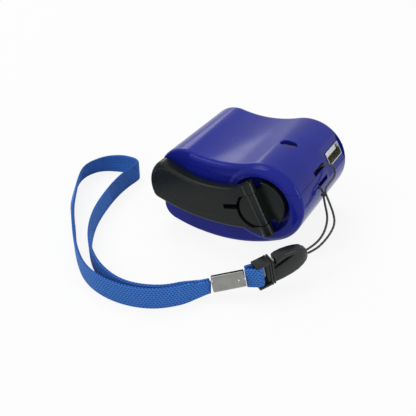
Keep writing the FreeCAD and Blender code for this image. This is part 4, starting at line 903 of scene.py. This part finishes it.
SEAM_HEIGHT = 30.5 * MM
SEAM_PROUD, SEAM_DEEP, SEAM_HALF = 0.035, 0.2, 0.11
SEAM_SECTION = [
    (SEAM_PROUD, -SEAM_HALF),
    (SEAM_PROUD, SEAM_HALF),
    (-SEAM_DEEP, SEAM_HALF),
    (-SEAM_DEEP, -SEAM_HALF),
]
seam_loop = outer_edge(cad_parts["upper_shell"].data, SEAM_HEIGHT)
seam_verts = []
for spot, outward in seam_loop:
    for out, up in SEAM_SECTION:
        seam_verts.append(spot + outward * out * MM + UP * up * MM)
seam_faces = band_faces(len(seam_loop), len(SEAM_SECTION), closed=True)
# Near-black blue: painted shade standing for the shadow in the gap between the shells.
painted_seam_shade = plastic("painted_seam_shade", (0.003, 0.005, 0.06), 0.5, 0.65, 1500, 2e-6, Specular_IOR_Level=0.15)
piece("seam_line", mesh_of("seam_line", seam_verts, seam_faces), "case", painted_seam_shade)


# Raised contour on the front of the arm, a half-round bead.

ARM_FACE = -29.3
BEAD_HALF, BEAD_RISE = 0.30 * MM, 0.17 * MM
CONTOUR = [
    (8.6, 14.6),
    (3.1, 13.8),
    (-3.4, 13.7),
    (-10.0, 14.6),
    (-16.8, 16.2),
    (-21.4, 17.7),
    (-23.7, 21.0),
    (-23.2, 26.0),
    (-20.6, 28.6),
    (-17.0, 28.9),
    (-11.5, 27.3),
    (-6.5, 26.2),
    (-0.5, 25.8),
]
contour_line = paced(smooth_line([(x, ARM_FACE, z) for x, z in CONTOUR]), 0.4 * MM)


def contour_ring(i, s):
    """Section of the bead, which tapers over six points at either end."""
    taper = min(1.0, min(i, len(contour_line) - 1 - i) / 6 + 0.1)
    return round_section(BEAD_HALF * taper, BEAD_RISE * taper)


piece(
    "arm_contour",
    swept("arm_contour", contour_line, contour_ring, [Vector((0, -1, 0))] * len(contour_line)),
    "arm",
    arm_black,
)


# Floor, world and lamps.


def background_rays(tree):
    """1 for camera, glossy and transmission rays, which all see the white background."""
    seen = tree.nodes.new("ShaderNodeLightPath")
    total = seen.outputs["Is Camera Ray"]
    for ray in ("Is Glossy Ray", "Is Transmission Ray"):
        both = tree.nodes.new("ShaderNodeMath")
        both.operation = "ADD"
        both.use_clamp = True
        tree.links.new(total, both.inputs[0])
        tree.links.new(seen.outputs[ray], both.inputs[1])
        total = both.outputs[0]
    return total


FLOOR_HALF = 4
FLOOR_WHITE = 0.88  # share of plain white in the floor; the rest takes the object's shadow
floor_corners = [(x * FLOOR_HALF, y * FLOOR_HALF, 0) for x, y in ((-1, -1), (1, -1), (1, 1), (-1, 1))]
floor_mesh = mesh_of("floor", floor_corners, [(0, 1, 2, 3)])
floor = bpy.data.objects.new("floor", floor_mesh)
scene.collection.objects.link(floor)
paper = bpy.data.materials.new("paper")
paper.use_nodes = True
tree = paper.node_tree
tree.nodes.clear()
out = tree.nodes.new("ShaderNodeOutputMaterial")
matt = tree.nodes.new("ShaderNodeBsdfDiffuse")
matt.inputs["Color"].default_value = (0.84, 0.84, 0.85, 1)
glow = tree.nodes.new("ShaderNodeEmission")
glow.inputs["Strength"].default_value = 1.0
share = tree.nodes.new("ShaderNodeMath")
share.operation = "MULTIPLY"
share.inputs[1].default_value = FLOOR_WHITE
tree.links.new(background_rays(tree), share.inputs[0])
blend = tree.nodes.new("ShaderNodeMixShader")
tree.links.new(share.outputs[0], blend.inputs[0])
tree.links.new(matt.outputs[0], blend.inputs[1])
tree.links.new(glow.outputs[0], blend.inputs[2])
tree.links.new(blend.outputs[0], out.inputs["Surface"])
floor_mesh.materials.append(paper)

world = bpy.data.worlds.new("studio")
world.use_nodes = True
scene.world = world
tree = world.node_tree
tree.nodes.clear()
out = tree.nodes.new("ShaderNodeOutputWorld")
plain = tree.nodes.new("ShaderNodeBackground")
plain.inputs["Color"].default_value = (1, 1, 1, 1)
plain.inputs["Strength"].default_value = 0.34
white = tree.nodes.new("ShaderNodeBackground")
white.inputs["Color"].default_value = (1, 1, 1, 1)
white.inputs["Strength"].default_value = 1.0
blend = tree.nodes.new("ShaderNodeMixShader")
tree.links.new(background_rays(tree), blend.inputs[0])
tree.links.new(plain.outputs[0], blend.inputs[1])
tree.links.new(white.outputs[0], blend.inputs[2])
tree.links.new(blend.outputs[0], out.inputs["Surface"])


LAMP_AIM = Vector((0, 0, 0.02))


def lamp(name, place, size, power, gloss=True):
    """An area lamp that faces the object; places are in metres. gloss makes it show in reflections."""
    light = bpy.data.lights.new(name, "AREA")
    light.shape = "RECTANGLE"
    light.size, light.size_y = size
    light.energy = power
    thing = bpy.data.objects.new(name, light)
    scene.collection.objects.link(thing)
    thing.visible_glossy = gloss
    thing.location = place
    thing.rotation_euler = (LAMP_AIM - Vector(place)).to_track_quat("-Z", "Y").to_euler()


lamp("key", (-0.45, 0.25, 1.15), (0.8, 0.8), 7.0, gloss=False)
lamp("fill", (0.45, -1.0, 0.7), (0.7, 0.7), 2.0, gloss=False)
lamp("side", (-0.46, -0.62, 0.80), (0.45, 0.45), 2.6)
lamp("band", (-0.68, 0.74, 0.55), (0.40, 0.45), 1.3)
lamp("rim", (1.0, -0.10, 0.32), (0.12, 0.40), 2.0)

scene.view_settings.view_transform = "Standard"
